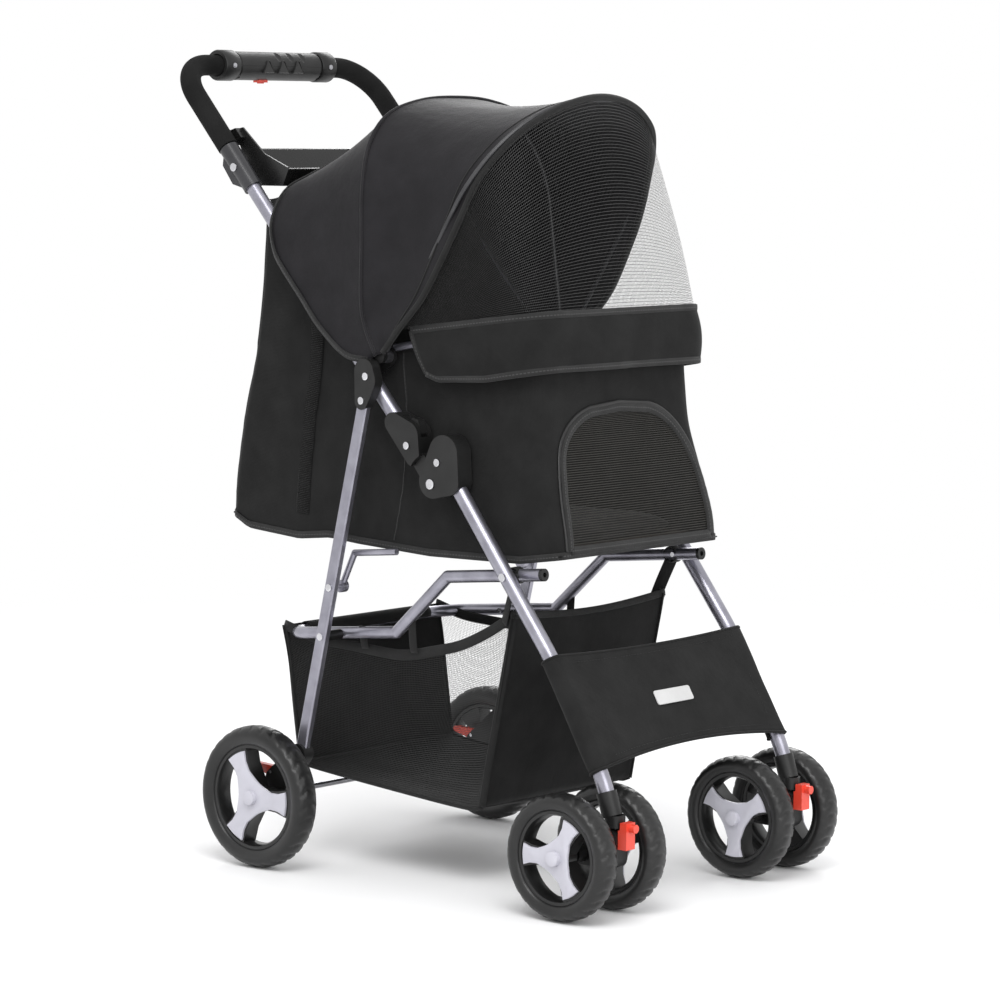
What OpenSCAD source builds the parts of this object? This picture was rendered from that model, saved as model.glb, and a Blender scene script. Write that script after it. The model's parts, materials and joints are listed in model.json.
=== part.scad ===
// Folding four-wheel pet stroller: a fabric cabin with a hooped canopy on a
// tubular frame, with twin-wheel casters in front and braked wheels behind.
// X is across the stroller, +Y points to the person pushing, +Z is up, and
// the origin is on the floor below the middle. "left" and "right" are those
// of the person pushing, so "right" is the -X side.

/* [Overall] */
// Half distance between the centres of the frame tubes
frame_half = 171; // [160:1:180]
// Half distance between the middles of the rear wheels
track_half = 218; // [210:1:225]
// Distance from the latch pivot to the middle of the handle bar
handle_reach = 656; // [600:1:700]

/* [Fold pivots, as distance back and height] */
// Latch pivot, where the handle frame turns on the front legs
latch_pivot = [-78, 484];
// Joint of the rear leg cap with the side tube
cap_pivot = [16, 607];
// Joint of the lower rail with the front leg
rail_front_pivot = [-187, 382];
// Joint of the lower rail with the rear leg
rail_rear_pivot = [91, 288];
// Canopy hub, where the hoops turn
hub = [8, 630];

/* [Tubes] */
// Outside diameter of legs and side tubes
tube_d = 18.5; // [16:0.5:22]
// Wall of the tubes
tube_wall = 1.5; // [1:0.1:2]
// Outside diameter of the lower rail
rail_d = 15; // [12:0.5:16]
// Half distance between the two runs of the lower rail
rail_half = 150; // [140:1:152]
// Outside diameter of the handle bar
handle_d = 15.2; // [14:0.1:15.3]
// Outside diameter of the foam grips
grip_d = 26; // [22:1:30]
// Slope of the side tubes above the level
side_slope = 48.7; // [45:0.1:52]

/* [Wheels] */
// Diameter of the front wheels
front_d = 148; // [130:1:160]
// Diameter of the rear wheels
rear_d = 174; // [160:1:190]
// Width of a tyre
tyre_w = 34; // [26:1:38]
// Half distance between the two wheels of a caster
twin_half = 45; // [40:1:50]
// Distance forward of the swivel axis
swivel_y = -349; // [-360:1:-340]
// How far a front wheel trails behind its swivel axis
trail = 41; // [30:1:45]
// Distance back of the rear axle
rear_axle_y = 169; // [150:1:180]
// Diameter of the axles
axle_d = 8; // [6:0.5:10]

/* [Cabin] */
// Half width of the cabin
cabin_half = 150; // [140:1:150]
// Thickness of the padded fabric
fabric = 3; // [2:0.5:4]
// Half width of the storage basket
basket_half = 140; // [120:1:141]

/* [Canopy] */
// Angle of the rear edge of the canopy about the hub
rear_angle = 57; // [54:1:62]
// Angle of the middle hoop
mid_angle = 82.5; // [78:0.5:90]
// Angle of the front hoop
front_angle = 121.5; // [115:0.5:128]
// Reach of the rear edge from the hub
rear_reach = 296; // [270:1:310]
// Reach of the middle hoop
mid_reach = 306; // [290:1:320]
// Reach of the front hoop
front_reach = 358; // [340:1:370]

/* [Hidden] */
$fn = 48;
handle_bend = 52;
tr = tube_d / 2;
axle_r = axle_d / 2;
// Direction of the side tubes, and the direction square to it, to the front
side_dir = [cos(side_slope), sin(side_slope)];
side_out = [-sin(side_slope), cos(side_slope)];
// Centre line of a front leg, from the latch down to the caster
leg_line = [[-83, 516.5], [-252, 295], [-329, 166], [-345, 127]];
// Centre line of a rear leg, from its cap down to the brake housing
leg_dir = (rail_rear_pivot - cap_pivot) / norm(rail_rear_pivot - cap_pivot);
leg_x = [182.8, 192.3];
rear_leg_len = 500;
brake_point = cap_pivot + rear_leg_len * leg_dir;
// Side outline of the cabin, from the rear top round to the front rim
cabin_line = [[222, 800], [226, 720], [232, 640], [246, 560], [272, 470],
    [278, 432], [262, 412], [150, 404], [-120, 402.5], [-246, 405],
    [-243, 440], [-229, 520], [-214, 610], [-208, 672], [-60, 652], [20, 638],
    [92, 690]];
// Side outline of the storage basket
basket_line = [[178, 264], [156, 126], [142, 120], [20, 110], [-122, 97],
    [-176, 332], [-160, 312], [-90, 288], [0, 272], [90, 270]];
// Path of the rim hoop in side view
rim_rear = [4, 640];
rim_front = [-214, 679];
front_wheel_r = front_d / 2;
rear_wheel_r = rear_d / 2;
front_axle_y = swivel_y + trail;
pedal_pivot = [rear_axle_y + 2, rear_wheel_r + 27];

function unit(v) = v / norm(v);
function at(x, p) = [x, p[0], p[1]];
// A point on a side tube's line, d from the latch pivot and o to the front
function on_side(d, o = 0) = latch_pivot + d * side_dir + o * side_out;
// Half of a rounded arch, from its foot up to its crown
function arch(w, h, n, steps = 14) = [for (i = [-steps:steps])
    let(t = 90 - 90 * i / steps)
    [w * sign(cos(t)) * pow(abs(cos(t)), 2 / n), h * pow(sin(t), 2 / n)]];

module side(s) { mirror([s < 0 ? 1 : 0, 0, 0]) children(); }
module pair() { for (s = [-1, 1]) side(s) children(); }

// Puts children at p with their Z along d and their X as near r as it can be
module aim(p, d, r = [1, 0, 0]) {
    z = unit(d);
    y = unit(cross(z, r));
    x = cross(y, z);
    multmatrix([[x[0], y[0], z[0], p[0]], [x[1], y[1], z[1], p[1]],
        [x[2], y[2], z[2], p[2]]]) children();
}

// An axis well clear of direction d
function beside(d) = abs(unit(d)[0]) > 0.9 ? [0, 0, 1] : [1, 0, 0];

// Round bar from p to q
module bar(p, q, r) {
    aim(p, q - p, beside(q - p)) cylinder(h = norm(q - p), r = r);
}

// A bar along X from x0 to x1 at the side-view point p
module cross_bar(x0, x1, p, r) {
    translate(at(x0, p)) rotate([0, 90, 0]) cylinder(h = x1 - x0, r = r);
}

// A side-view shape given in [back, up], extruded across from x0 to x1
module side_plate(x0, x1) {
    multmatrix([[0, 0, 1, x0], [1, 0, 0, 0], [0, 1, 0, 0]])
        linear_extrude(height = x1 - x0) children();
}

module spot(p, r) { translate(p) circle(r = r); }

// The same path, drawn out past both ends for cutting a bore
function drawn_out(pts, e = 2) = let(n = len(pts)) [for (i = [0:n - 1])
    i == 0 ? pts[0] + e * unit(pts[0] - pts[1]) :
    i == n - 1 ? pts[i] + e * unit(pts[i] - pts[i - 1]) : pts[i]];

// One corner of a U: a leg up Z at x = w from foot, a bend, and a bar in to x = end
module corner_bar(w, h, foot, bend, end, r) {
    translate([w, 0, foot]) cylinder(h = h - bend - foot, r = r);
    translate([w - bend, 0, h - bend]) rotate([90, 0, 0])
        rotate_extrude(angle = 90) translate([bend, 0]) circle(r = r);
    translate([end, 0, h]) rotate([0, 90, 0]) cylinder(h = w - bend - end, r = r);
}

// Bar bent to a U in the plane of X and Z, its legs at x = -w and w
module u_bar(w, h, foot, bend, r) {
    corner_bar(w, h, foot, bend, bend - w, r);
    mirror([1, 0, 0]) {
        translate([w, 0, foot]) cylinder(h = h - bend - foot, r = r);
        translate([w - bend, 0, h - bend]) rotate([90, 0, 0])
            rotate_extrude(angle = 90) translate([bend, 0]) circle(r = r);
    }
}

// Points along the bend of radius rad at b, between a and c, in k steps
function bend_points(a, b, c, rad, k) =
    let(u = unit(b - a), v = unit(c - b), turn = acos(u * v),
        s = b - u * rad * tan(turn / 2), n = unit(v - (u * v) * u))
    [for (i = [0:k]) let(t = turn * i / k) s + rad * (sin(t) * u + (1 - cos(t)) * n)];

// A path with each corner replaced by the points of its bend
function softened(pts, rads, k = 3) = let(n = len(pts)) [for (i = [0:n - 1])
    each (i == 0 || i == n - 1 ? [pts[i]] :
        bend_points(pts[i - 1], pts[i], pts[i + 1], rads[i - 1], k))];

// Round bar through points, with a ball a hair larger than the bar at each
module jointed_bar(pts, r) {
    for (i = [0:len(pts) - 2]) bar(pts[i], pts[i + 1], r);
    for (i = [1:len(pts) - 2]) translate(pts[i]) sphere(r = r + 0.015);
}

module jointed_tube(pts, r, bore) {
    difference() {
        jointed_bar(pts, r);
        jointed_bar(drawn_out(pts), bore);
    }
}

// Domed rivet head facing +X
module rivet_head(r = 4, h = 1.8) {
    rotate([0, 90, 0]) { cylinder(h = h - 0.6, r = r); translate([0, 0, h - 0.6])
        cylinder(h = 0.6, r1 = r, r2 = r - 1); }
}

// ---- Front legs and their fittings ----

module front_leg(s) {
    color([0.60, 0.59, 0.66]) side(s) difference() {
        jointed_tube(leg_path, tr, tr - tube_wall);
        cross_bar(frame_half - 12, frame_half + 12, rail_front_pivot, 3.05);
        cross_bar(frame_half - 12, frame_half + 12, [-88, 510], 2.55);
    }
}

module latch_lowers() {
    color([0.07, 0.07, 0.08]) pair() difference() {
        side_plate(frame_half - 12.5, frame_half + 12.5) hull() {
            spot([-97, 521], 22);
            spot([-80, 487], 20);
            spot([-105, 488], 16);
        }
        // bore for the leg
        bar(at(frame_half, [-83, 516.5]), at(frame_half, [-252, 295]), tr + 0.05);
        // room for the tongue of the upper half, open to the rear
        side_plate(frame_half - 7, frame_half + 7) union() {
            spot(latch_pivot, 13.6);
            translate(latch_pivot) polygon([[-10.2, 8.98], [15, 38], [60, 60], [60, -60],
                [6, -40], [-11.9, -6.5], [0, 0]]);
        }
        cross_bar(frame_half - 13, frame_half + 13, latch_pivot, 4.05);
        cross_bar(frame_half - 13, frame_half + 13, [-88, 510], 2.55);
    }
}

module caster_sockets() {
    color([0.07, 0.07, 0.08]) pair() difference() {
        union() {
            translate([frame_half - 1, swivel_y, 108]) cylinder(h = 14, r = 12);
            bar(at(frame_half, [-346, 120]), at(frame_half, [-337, 147]), 12);
            translate([frame_half - 1, swivel_y, 62]) cylinder(h = 50, r = 5);
        }
        bar(at(frame_half, [-345.1, 126.8]), at(frame_half, [-334, 153.7]), tr + 0.05);
    }
}

module front_rivets() {
    color([0.75, 0.75, 0.78]) pair() {
        // pivot pin of the latch
        cross_bar(frame_half - 14, frame_half + 13, latch_pivot, 4);
        translate(at(frame_half + 13, latch_pivot)) rivet_head(6, 2.2);
        // rivet that holds the latch on the leg
        cross_bar(frame_half - 14, frame_half + 13, [-88, 510], 2.5);
        translate(at(frame_half + 13, [-88, 510])) rivet_head(4.5);
        // pivot of the lower rail
        cross_bar(rail_half - 9, frame_half + tr + 0.6, rail_front_pivot, 3);
        translate(at(frame_half + tr + 0.6, rail_front_pivot)) rivet_head(5, 2);
    }
}

module valance() {
    color([0.16, 0.16, 0.17]) difference() {
        union() {
            pair() bar(at(frame_half, [-254.5, 291]), at(frame_half, [-327, 169.5]), tr + 2);
            side_plate(-161, 161) polygon([[-255, 291], [-253, 292.2], [-325.6, 170.6],
                [-327.6, 169.4]]);
        }
        pair() bar(at(frame_half, [-252, 295]), at(frame_half, [-329, 166]), tr + 0.15);
    }
}

// ---- Handle frame ----

module side_tubes() {
    color([0.60, 0.59, 0.66]) pair() difference() {
        bar(at(frame_half, on_side(45)), at(frame_half, on_side(500)), tr);
        bar(at(frame_half, on_side(40)), at(frame_half, on_side(505)), tr - tube_wall);
        cross_bar(frame_half - 14, frame_half + 14, on_side(57.6), 2.55);
    }
}

leg_path = softened([for (p = leg_line) at(frame_half, p)], [180, 120], 2);

// Puts children in the plane of the side tubes, Z up along them from the latch pivot
module in_handle_plane() { aim(at(0, latch_pivot), at(0, side_dir)) children(); }

module handle_tube() {
    r = handle_d / 2;
    color([0.60, 0.59, 0.66]) in_handle_plane() difference() {
        u_bar(frame_half, handle_reach, 440, handle_bend, r);
        u_bar(frame_half, handle_reach, 438, handle_bend, r - 1.4);
    }
}

module handle_grips() {
    color([0.05, 0.05, 0.05]) in_handle_plane() pair() difference() {
        corner_bar(frame_half, handle_reach, 521, handle_bend, 93, grip_d / 2);
        corner_bar(frame_half, handle_reach, 519, handle_bend, 91, handle_d / 2 + 0.1);
    }
}

// Clamp that joins the handle bar to a side tube and carries the tray
module handle_sleeves() {
    color([0.22, 0.22, 0.25]) pair() difference() {
        union() {
            bar(at(frame_half, on_side(456)), at(frame_half, on_side(519.5)), 12);
            side_plate(frame_half - 7, frame_half + 7) polygon([on_side(462, -8),
                on_side(478, -19), on_side(506, -17), on_side(514, -8)]);
        }
        bar(at(frame_half, on_side(450)), at(frame_half, on_side(500.5)), tr + 0.1);
        bar(at(frame_half, on_side(450)), at(frame_half, on_side(525)), handle_d / 2 + 0.1);
        cross_bar(frame_half + 5, frame_half + 14, on_side(489), 2.55);
    }
}

// Body of the console: a rounded grip housing with a collar at each end
module console_form() {
    translate(at(0, on_side(handle_reach))) rotate([0, 90, 0]) {
        for (m = [0, 1]) mirror([0, 0, m]) {
            translate([0, 0, 79]) cylinder(h = 13, r = 15.5);
            translate([0, 0, 71]) cylinder(h = 8.2, r1 = 18, r2 = 15.5);
        }
        translate([0, 0, -72]) cylinder(h = 144, r = 18);
    }
}

module console_bore() {
    cross_bar(-100, 100, on_side(handle_reach), handle_d / 2 + 0.1);
}

module console_top() {
    c = on_side(handle_reach);
    color([0.06, 0.06, 0.07]) difference() {
        intersection() {
            console_form();
            translate([-95, c[0] - 25, c[1] + 0.1]) cube([190, 50, 30]);
        }
        console_bore();
        // three finger scallops
        for (x = [-4, 18, 40]) translate([x, c[0] - 17, c[1] + 17]) rotate([-45, 0, 0])
            cylinder(h = 24, r = 8, center = true);
        for (x = [-72, 72]) translate([x, c[0] - 10, c[1] - 1]) cylinder(h = 12, r = 1.6);
    }
}

module console_base() {
    c = on_side(handle_reach);
    color([0.06, 0.06, 0.07]) difference() {
        intersection() {
            console_form();
            translate([-95, c[0] - 25, c[1] - 30]) cube([190, 50, 29.9]);
        }
        console_bore();
        // slot for the button, and a hollow over it for its travel
        translate([-30.3, c[0] - 5.3, c[1] - 20]) cube([16.6, 10.6, 16]);
        for (x = [-72, 72]) translate([x, c[0] - 10, c[1] - 20]) cylinder(h = 21, r = 2);
    }
}

module release_button() {
    c = on_side(handle_reach);
    color([0.85, 0.15, 0.10]) translate([-22, c[0], c[1] - 20.5]) {
        translate([-8, -5, 0]) cube([16, 10, 8]);
        translate([-5, 0, 0]) rotate([0, 90, 0]) cylinder(h = 10, r = 1.5);
    }
}

// Shallow tray between the sleeves, with a wing at each end
module tray() {
    color([0.09, 0.09, 0.10]) {
        difference() {
            side_plate(-150, 150) polygon([[184, 850], [194, 829], [250, 829], [264, 874]]);
            side_plate(-147.5, 147.5) polygon([[187, 853], [195.6, 831.5], [248.2, 831.5],
                [261.6, 876], [226, 890]]);
        }
        for (x = [-75, 75]) translate([x, 222, 831]) difference() {
            cylinder(h = 5, r = 24);
            translate([0, 0, -1]) cylinder(h = 7, r = 22);
        }
        pair() side_plate(147.5, 150) polygon([[184, 849], [186, 852], [225, 868],
            [262, 900], [276, 897], [262, 868], [250, 840], [220, 840]]);
        pair() side_plate(149, 158.8) polygon([[256, 888], [266, 899], [276, 896],
            [266, 878]]);
    }
}

module latch_upper(s) {
    color([0.07, 0.07, 0.08]) side(s) difference() {
        union() {
            // sleeve on the side tube with a shoulder to the front
            difference() {
                side_plate(frame_half - 12.5, frame_half + 12.5) hull() {
                    spot(on_side(92), 12.4);
                    spot(on_side(66, 8), 17);
                    spot(on_side(42, -2), 11);
                }
                side_plate(frame_half - 13, frame_half + 13) spot(latch_pivot, 37);
            }
            // tongue that reaches into the lower half
            side_plate(frame_half - 6.6, frame_half + 6.6) hull() {
                spot(latch_pivot, 13);
                spot(on_side(40, -1), 10);
            }
        }
        bar(at(frame_half, on_side(44.8)), at(frame_half, on_side(120)), tr + 0.05);
        cross_bar(frame_half - 13, frame_half + 13, latch_pivot, 4.05);
        cross_bar(frame_half - 14, frame_half + 14, on_side(57.6), 2.55);
        // groove for the catch
        side_plate(frame_half - 6.3, frame_half + 6.3) polygon([on_side(54, 13.4),
            on_side(92, 13.4), on_side(92, 40), on_side(54, 40)]);
    }
}

// Thumb catch that slides up its groove to free the latch
module latch_catch(s) {
    color([0.10, 0.10, 0.11]) side(s) {
        side_plate(frame_half - 6, frame_half + 6) polygon([on_side(55, 13.7),
            on_side(80, 13.7), on_side(80, 24), on_side(73, 29), on_side(66, 27),
            on_side(58, 22)]);
    }
}

module canopy_clamps() {
    color([0.07, 0.07, 0.08]) pair() {
        side_plate(frame_half - 11.4, frame_half - 9.4) hull() {
            spot(hub, 11);
            spot(hub + [24, -21], 9);
        }
        cross_bar(frame_half - 9.5, frame_half + 7, hub, 3);
        cross_bar(frame_half + 3.2, frame_half + 8.6, hub, 8);
    }
}

// Screws and rivets of the handle frame
module frame_screws() {
    color([0.70, 0.70, 0.73]) {
        pair() {
            translate(at(frame_half + 12.1, on_side(489))) rivet_head(5, 2);
            cross_bar(frame_half + 9.4, frame_half + 12.2, on_side(489), 2.5);
            cross_bar(frame_half - 14, frame_half + 13, on_side(57.6), 2.5);
            translate(at(frame_half + 13, on_side(57.6))) rivet_head(4.5);
        }
        c = on_side(handle_reach);
        for (x = [-72, 72]) translate([x, c[0] - 10, c[1]]) {
            translate([0, 0, -12.5]) cylinder(h = 21, r = 1.55);
            translate([0, 0, -13]) cylinder(h = 2, r = 1.9);
        }
    }
}

module rim_hoop() {
    color([0.72, 0.71, 0.76]) aim(at(0, rim_rear), at(0, rim_front - rim_rear))
        u_bar(155, 221.5, 0, 45, 4.5);
}

// ---- Cabin ----

module door_outline(grow = 0) {
    difference() {
        offset(delta = grow) polygon(concat([[-130, 0]], arch(130, 150, 3.2), [[130, 0]]));
        translate([-200, -50]) square([400, 50 - grow]);
    }
}

// Puts an outline drawn in [across, up the wall] on the front wall
module on_front_wall(t0, t1) {
    foot = [-245.3, 419];
    up = unit([-214, 610] - foot);
    multmatrix([[1, 0, 0, 0], [0, up[0], -up[1], foot[0]], [0, up[1], up[0], foot[1]]])
        translate([0, 0, t0]) linear_extrude(height = t1 - t0) children();
}

module cabin_shell() {
    color([0.17, 0.17, 0.18]) difference() {
        side_plate(-cabin_half, cabin_half) polygon(cabin_line);
        difference() {
            side_plate(-cabin_half + fabric, cabin_half - fabric)
                union() {
                    offset(delta = -fabric) polygon(cabin_line);
                    polygon([[219, 796], [60, 900], [-204, 760], [-205, 668], [-60, 648],
                        [20, 634], [92, 684]]);
                }
        }
        on_front_wall(-12, 12) door_outline(0.8);
    }
}

module cabin_board() {
    color([0.25, 0.23, 0.20]) translate([-138, -232, 409]) cube([276, 380, 4]);
}

module cabin_cushion() {
    color([0.20, 0.20, 0.21]) translate([0, -42, 413.5]) hull() {
        for (x = [-120, 120], y = [-170, 172]) translate([x, y, 11]) {
            cylinder(h = 6, r = 16, center = true, $fn = 32);
            cylinder(h = 22, r = 10, center = true, $fn = 32);
        }
    }
}

module front_door() {
    color([0.12, 0.12, 0.13]) on_front_wall(0.3, 2.3) door_outline();
}

// Valance of cloth over the front half of the rim
module front_flap() {
    color([0.16, 0.16, 0.17]) difference() {
        translate([0, 0, 616]) linear_extrude(height = 72) band(166, -227);
        translate([0, 0, 610]) linear_extrude(height = 90) band(161, -221.5, 1);
    }
}

module band(w, front, over = 0) {
    hull() {
        for (x = [-1, 1]) translate([x * (w - 30), front + 30]) circle(r = 30, $fn = 64);
        translate([-w, -64]) square([2 * w, 8 + over]);
    }
}

// ---- Canopy ----

// Thin arch in the plane through the hub at angle a
module arch_slab(w, h, n, a, foot, thick = 0.6) {
    x = [1, 0, 0];
    y = [0, cos(a), sin(a)];
    z = cross(x, y);
    multmatrix([[x[0], y[0], z[0], 0], [x[1], y[1], z[1], hub[0]],
        [x[2], y[2], z[2], hub[1]]]) translate([0, foot, 0])
        linear_extrude(height = thick, center = true)
            polygon(arch(w, h - foot, n));
}

module canopy_form(t, foot, spread) {
    hull() {
        arch_slab(183 - t, rear_reach + 4 - t, 4, rear_angle - spread, foot);
        arch_slab(183 - t, mid_reach + 6 - t, 3.4, mid_angle, foot);
    }
    hull() {
        arch_slab(183 - t, mid_reach + 6 - t, 3.4, mid_angle, foot);
        arch_slab(182 - t, front_reach + 6 - t, 3.2, front_angle + spread, foot);
    }
}

module canopy_cover() {
    color([0.24, 0.23, 0.25]) difference() {
        canopy_form(0, 24, -2);
        canopy_form(2, 14, 4);
    }
}

// Dome of net between the front hoop and the rim
module window_form(t, drop) {
    hull() {
        arch_slab(176 - t, front_reach - 8 - t, 3.2, front_angle + 3.5, 34 - drop, 1);
        translate([0, 0, 690 - drop]) linear_extrude(height = 1) intersection() {
            band(166 - t, -222 + t);
            translate([-200, -400]) square([400, 350]);
        }
    }
}

module mesh_window() {
    color([0.10, 0.10, 0.11, 0.6]) difference() {
        window_form(0, 0);
        window_form(1.5, 3);
        // room for the band on the rim
        translate([-200, -400, 600]) cube([400, 345, 88.6]);
        // open to the rear, where the canopy carries on
        arch_slab(173, front_reach - 10, 3.2, front_angle + 2.5, 20, 4.5);
    }
}

// Hoop rod at angle a: an upright U with an eye at each foot
module hoop(x0, h, a, r, bend) {
    color([0.30, 0.30, 0.33]) aim(at(0, hub), [0, cos(a), sin(a)]) difference() {
        union() {
            u_bar(x0, h, 6, bend, r);
            pair() translate([x0 - 2.7, 0, 0]) rotate([0, 90, 0]) cylinder(h = 5.4, r = 8);
        }
        pair() translate([x0 - 6, 0, 0]) rotate([0, 90, 0]) cylinder(h = 12, r = 3.05);
    }
}

module canopy_mid_hoop() { hoop(frame_half - 6.6, mid_reach, mid_angle, 2.6, 130); }

module canopy_front_hoop() { hoop(frame_half - 1, front_reach, front_angle, 2.6, 150); }

// ---- Lower rail and basket ----

// Puts children in the rail's frame: Z back along it from the front pivot, X down
module in_rail_frame() { aim(at(0, rail_front_pivot), [0, 0.9954, -0.0958], [0, 0, -1]) children(); }

module lower_rail() {
    color([0.60, 0.59, 0.66]) difference() {
        in_rail_frame() for (y = [-rail_half, rail_half])
            jointed_tube([[0, y, -35], [0, y, 111], [66, y, 199], [66, y, 300]],
                rail_d / 2, rail_d / 2 - 1.3);
        pair() {
            cross_bar(rail_half - 9, rail_half + 9, rail_front_pivot, 3.05);
            cross_bar(rail_half - 9, rail_half + 9, rail_rear_pivot, 3.05);
        }
    }
    color([0.60, 0.59, 0.66]) in_rail_frame() translate([66, 0, 0]) rotate([0, 0, 90])
        difference() {
            u_bar(rail_half, 386, 300.1, 42, rail_d / 2);
            u_bar(rail_half, 386, 298.1, 42, rail_d / 2 - 1.3);
        }
}

// End plugs of the rail, and the bushes that space it from the legs
module rail_fittings() {
    color([0.07, 0.07, 0.08]) pair() {
        in_rail_frame() translate([0, rail_half, -39]) difference() {
            cylinder(h = 3.9, r = rail_d / 2);
            translate([0, 0, -1]) cylinder(h = 6, r = 3);
        }
        difference() {
            cross_bar(rail_half + 7.7, frame_half - tr - 0.1, rail_front_pivot, 6);
            cross_bar(rail_half, frame_half, rail_front_pivot, 3.05);
        }
        difference() {
            cross_bar(rail_half + 7.7, leg_x[0] - 0.2, rail_rear_pivot, 6.5);
            cross_bar(rail_half, leg_x[0] + 1, rail_rear_pivot, 3.05);
        }
    }
}

module basket() {
    color([0.14, 0.14, 0.15]) difference() {
        side_plate(-basket_half, basket_half) polygon(basket_line);
        side_plate(-basket_half + 2, basket_half - 2) union() {
            offset(delta = -2) polygon(basket_line);
            polygon([[174, 262], [175, 380], [-160, 380], [-172, 330], [-160, 306],
                [-90, 282], [0, 266], [90, 264]]);
        }
    }
}

// ---- Rear legs, axle and brakes ----

module rear_leg(s) {
    xm = (leg_x[0] + leg_x[1]) / 2;
    d = at(0, leg_dir);
    color([0.60, 0.59, 0.66]) side(s) difference() {
        aim(at(xm, cap_pivot + 22 * leg_dir), d) difference() {
            linear_extrude(height = rear_leg_len - 30) leg_section(0);
            translate([0, 0, -1]) linear_extrude(height = rear_leg_len) leg_section(1.4);
        }
        cross_bar(leg_x[0] - 1, leg_x[1] + 1, rail_rear_pivot, 3.05);
        cross_bar(leg_x[0] - 1, leg_x[1] + 1, cap_pivot + 30 * leg_dir, 2.55);
        cross_bar(leg_x[0] - 1, leg_x[1] + 1, cap_pivot + 265 * leg_dir, 2.55);
    }
}

module leg_section(inset) {
    w = leg_x[1] - leg_x[0];
    offset(r = 2.5 - inset * 0.6) offset(delta = -2.5 - inset * 0.4)
        square([w, 16], center = true);
}

// Moulded cap on the top of a rear leg, pinned to the side tube
module leg_caps() {
    d = leg_dir;
    color([0.07, 0.07, 0.08]) pair() difference() {
        side_plate(181, 194.6) hull() {
            spot(cap_pivot + [3, 6], 15);
            spot(cap_pivot + 31 * d, 10);
            spot(cap_pivot + 5 * d, 16.5);
        }
        aim(at((leg_x[0] + leg_x[1]) / 2, cap_pivot + 21.5 * d), at(0, d))
            linear_extrude(height = 60) offset(delta = 0.1) leg_section(0);
        cross_bar(180, 196, cap_pivot + 30 * d, 2.55);
    }
}

// Rivets of the rear legs: cap pivot, cap rivet, rail pivot and rod pivot
module rear_rivets_side() {
    translate(at(194.7, cap_pivot)) rivet_head(4.5, 1.8);
    cross_bar(181.2, 194.7, cap_pivot + 30 * leg_dir, 2.5);
    translate(at(194.7, cap_pivot + 30 * leg_dir)) rivet_head(4.5, 1.8);
    cross_bar(rail_half - 9, 192.5, rail_rear_pivot, 3);
    translate(at(192.5, rail_rear_pivot)) rivet_head(4.5, 1.8);
    cross_bar(164.3, 192.5, cap_pivot + 265 * leg_dir, 2.5);
    translate(at(192.5, cap_pivot + 265 * leg_dir)) rivet_head(4.5, 1.8);
}

module rear_rivets() {
    color([0.75, 0.75, 0.78]) pair() {
        rear_rivets_side();
        cross_bar(179.8, 196.2, pedal_pivot, 2);
    }
}

// Cranked rods that carry the cabin floor behind the rail
module seat_rods() {
    p = cap_pivot + 265 * leg_dir;
    color([0.20, 0.20, 0.22]) pair() difference() {
        union() {
            jointed_bar([at(169, p), at(169, [56, 391]), at(169, [-12, 397.5])], 4);
            cross_bar(164.6, 173.4, p, 7.5);
        }
        cross_bar(160, 178, p, 2.55);
    }
}

module rear_axle() {
    p = [rear_axle_y, rear_wheel_r];
    color([0.62, 0.62, 0.65]) {
        cross_bar(-234.5, 234.5, p, axle_r);
        pair() translate(at(233.4, p)) rivet_head(7, 2.4);
    }
}

module brake_housings() {
    p = [rear_axle_y, rear_wheel_r];
    color([0.07, 0.07, 0.08]) pair() difference() {
        side_plate(179.5, 196.5) hull() {
            spot(brake_point - 22 * leg_dir, 12);
            spot(p, 14);
            spot(p + [-4, 18], 14);
        }
        aim(at((leg_x[0] + leg_x[1]) / 2, cap_pivot + 22 * leg_dir), at(0, leg_dir))
            linear_extrude(height = rear_leg_len - 29.9) offset(delta = 0.1) leg_section(0);
        cross_bar(170, 210, p, axle_r + 0.02);
        // pocket for the pedal
        side_plate(183.5, 192.5) spot(pedal_pivot, 13);
        cross_bar(178, 198, pedal_pivot, 2.05);
    }
}

// Foot lever that wedges the brake against the wheel hub
module brake_pedal(s) {
    p = pedal_pivot;
    color([0.85, 0.22, 0.15]) side(s) difference() {
        side_plate(184, 192) hull() {
            spot(p, 7);
            spot(p + [30, 5], 3.5);
        }
        cross_bar(178, 198, p, 2.05);
    }
}

// ---- Wheels ----

// Tyre turned about X, centred on the origin
module tyre(r, w) {
    ri = r * 0.72;
    rotate([0, 90, 0]) rotate_extrude($fn = 96) polygon([[ri, -w / 2 + 4],
        [r - 10, -w / 2], [r - 4, -w / 2 + 3], [r - 1, -w / 2 + 9], [r, -4], [r, 4],
        [r - 1, w / 2 - 9], [r - 4, w / 2 - 3], [r - 10, w / 2], [ri, w / 2 - 4]]);
}

// Wheel centre with three arms that widen to the rim
module spider(r, w) {
    ri = r * 0.72;
    difference() {
        rotate([0, 90, 0]) {
            difference() {
                cylinder(h = w - 10, r = ri - 0.05, center = true, $fn = 96);
                cylinder(h = w, r = ri - 4, center = true, $fn = 96);
            }
            cylinder(h = w - 4, r = 13, center = true);
            for (k = [0:2]) rotate([0, 0, 120 * k + 20]) linear_extrude(height = w - 16,
                center = true) polygon([[8, -10], [ri - 10, -11], [ri - 2, -15],
                [ri - 2, 15], [ri - 10, 11], [8, 10]]);
        }
        rotate([0, 90, 0]) cylinder(h = w + 2, r = axle_r + 0.05, center = true);
    }
}

function front_hub(s, o) = [s * (frame_half - 1) + o * twin_half, front_axle_y, front_wheel_r];

module front_tyre(s, o) {
    color([0.05, 0.05, 0.06]) translate(front_hub(s, o)) tyre(front_wheel_r, tyre_w);
}

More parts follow.
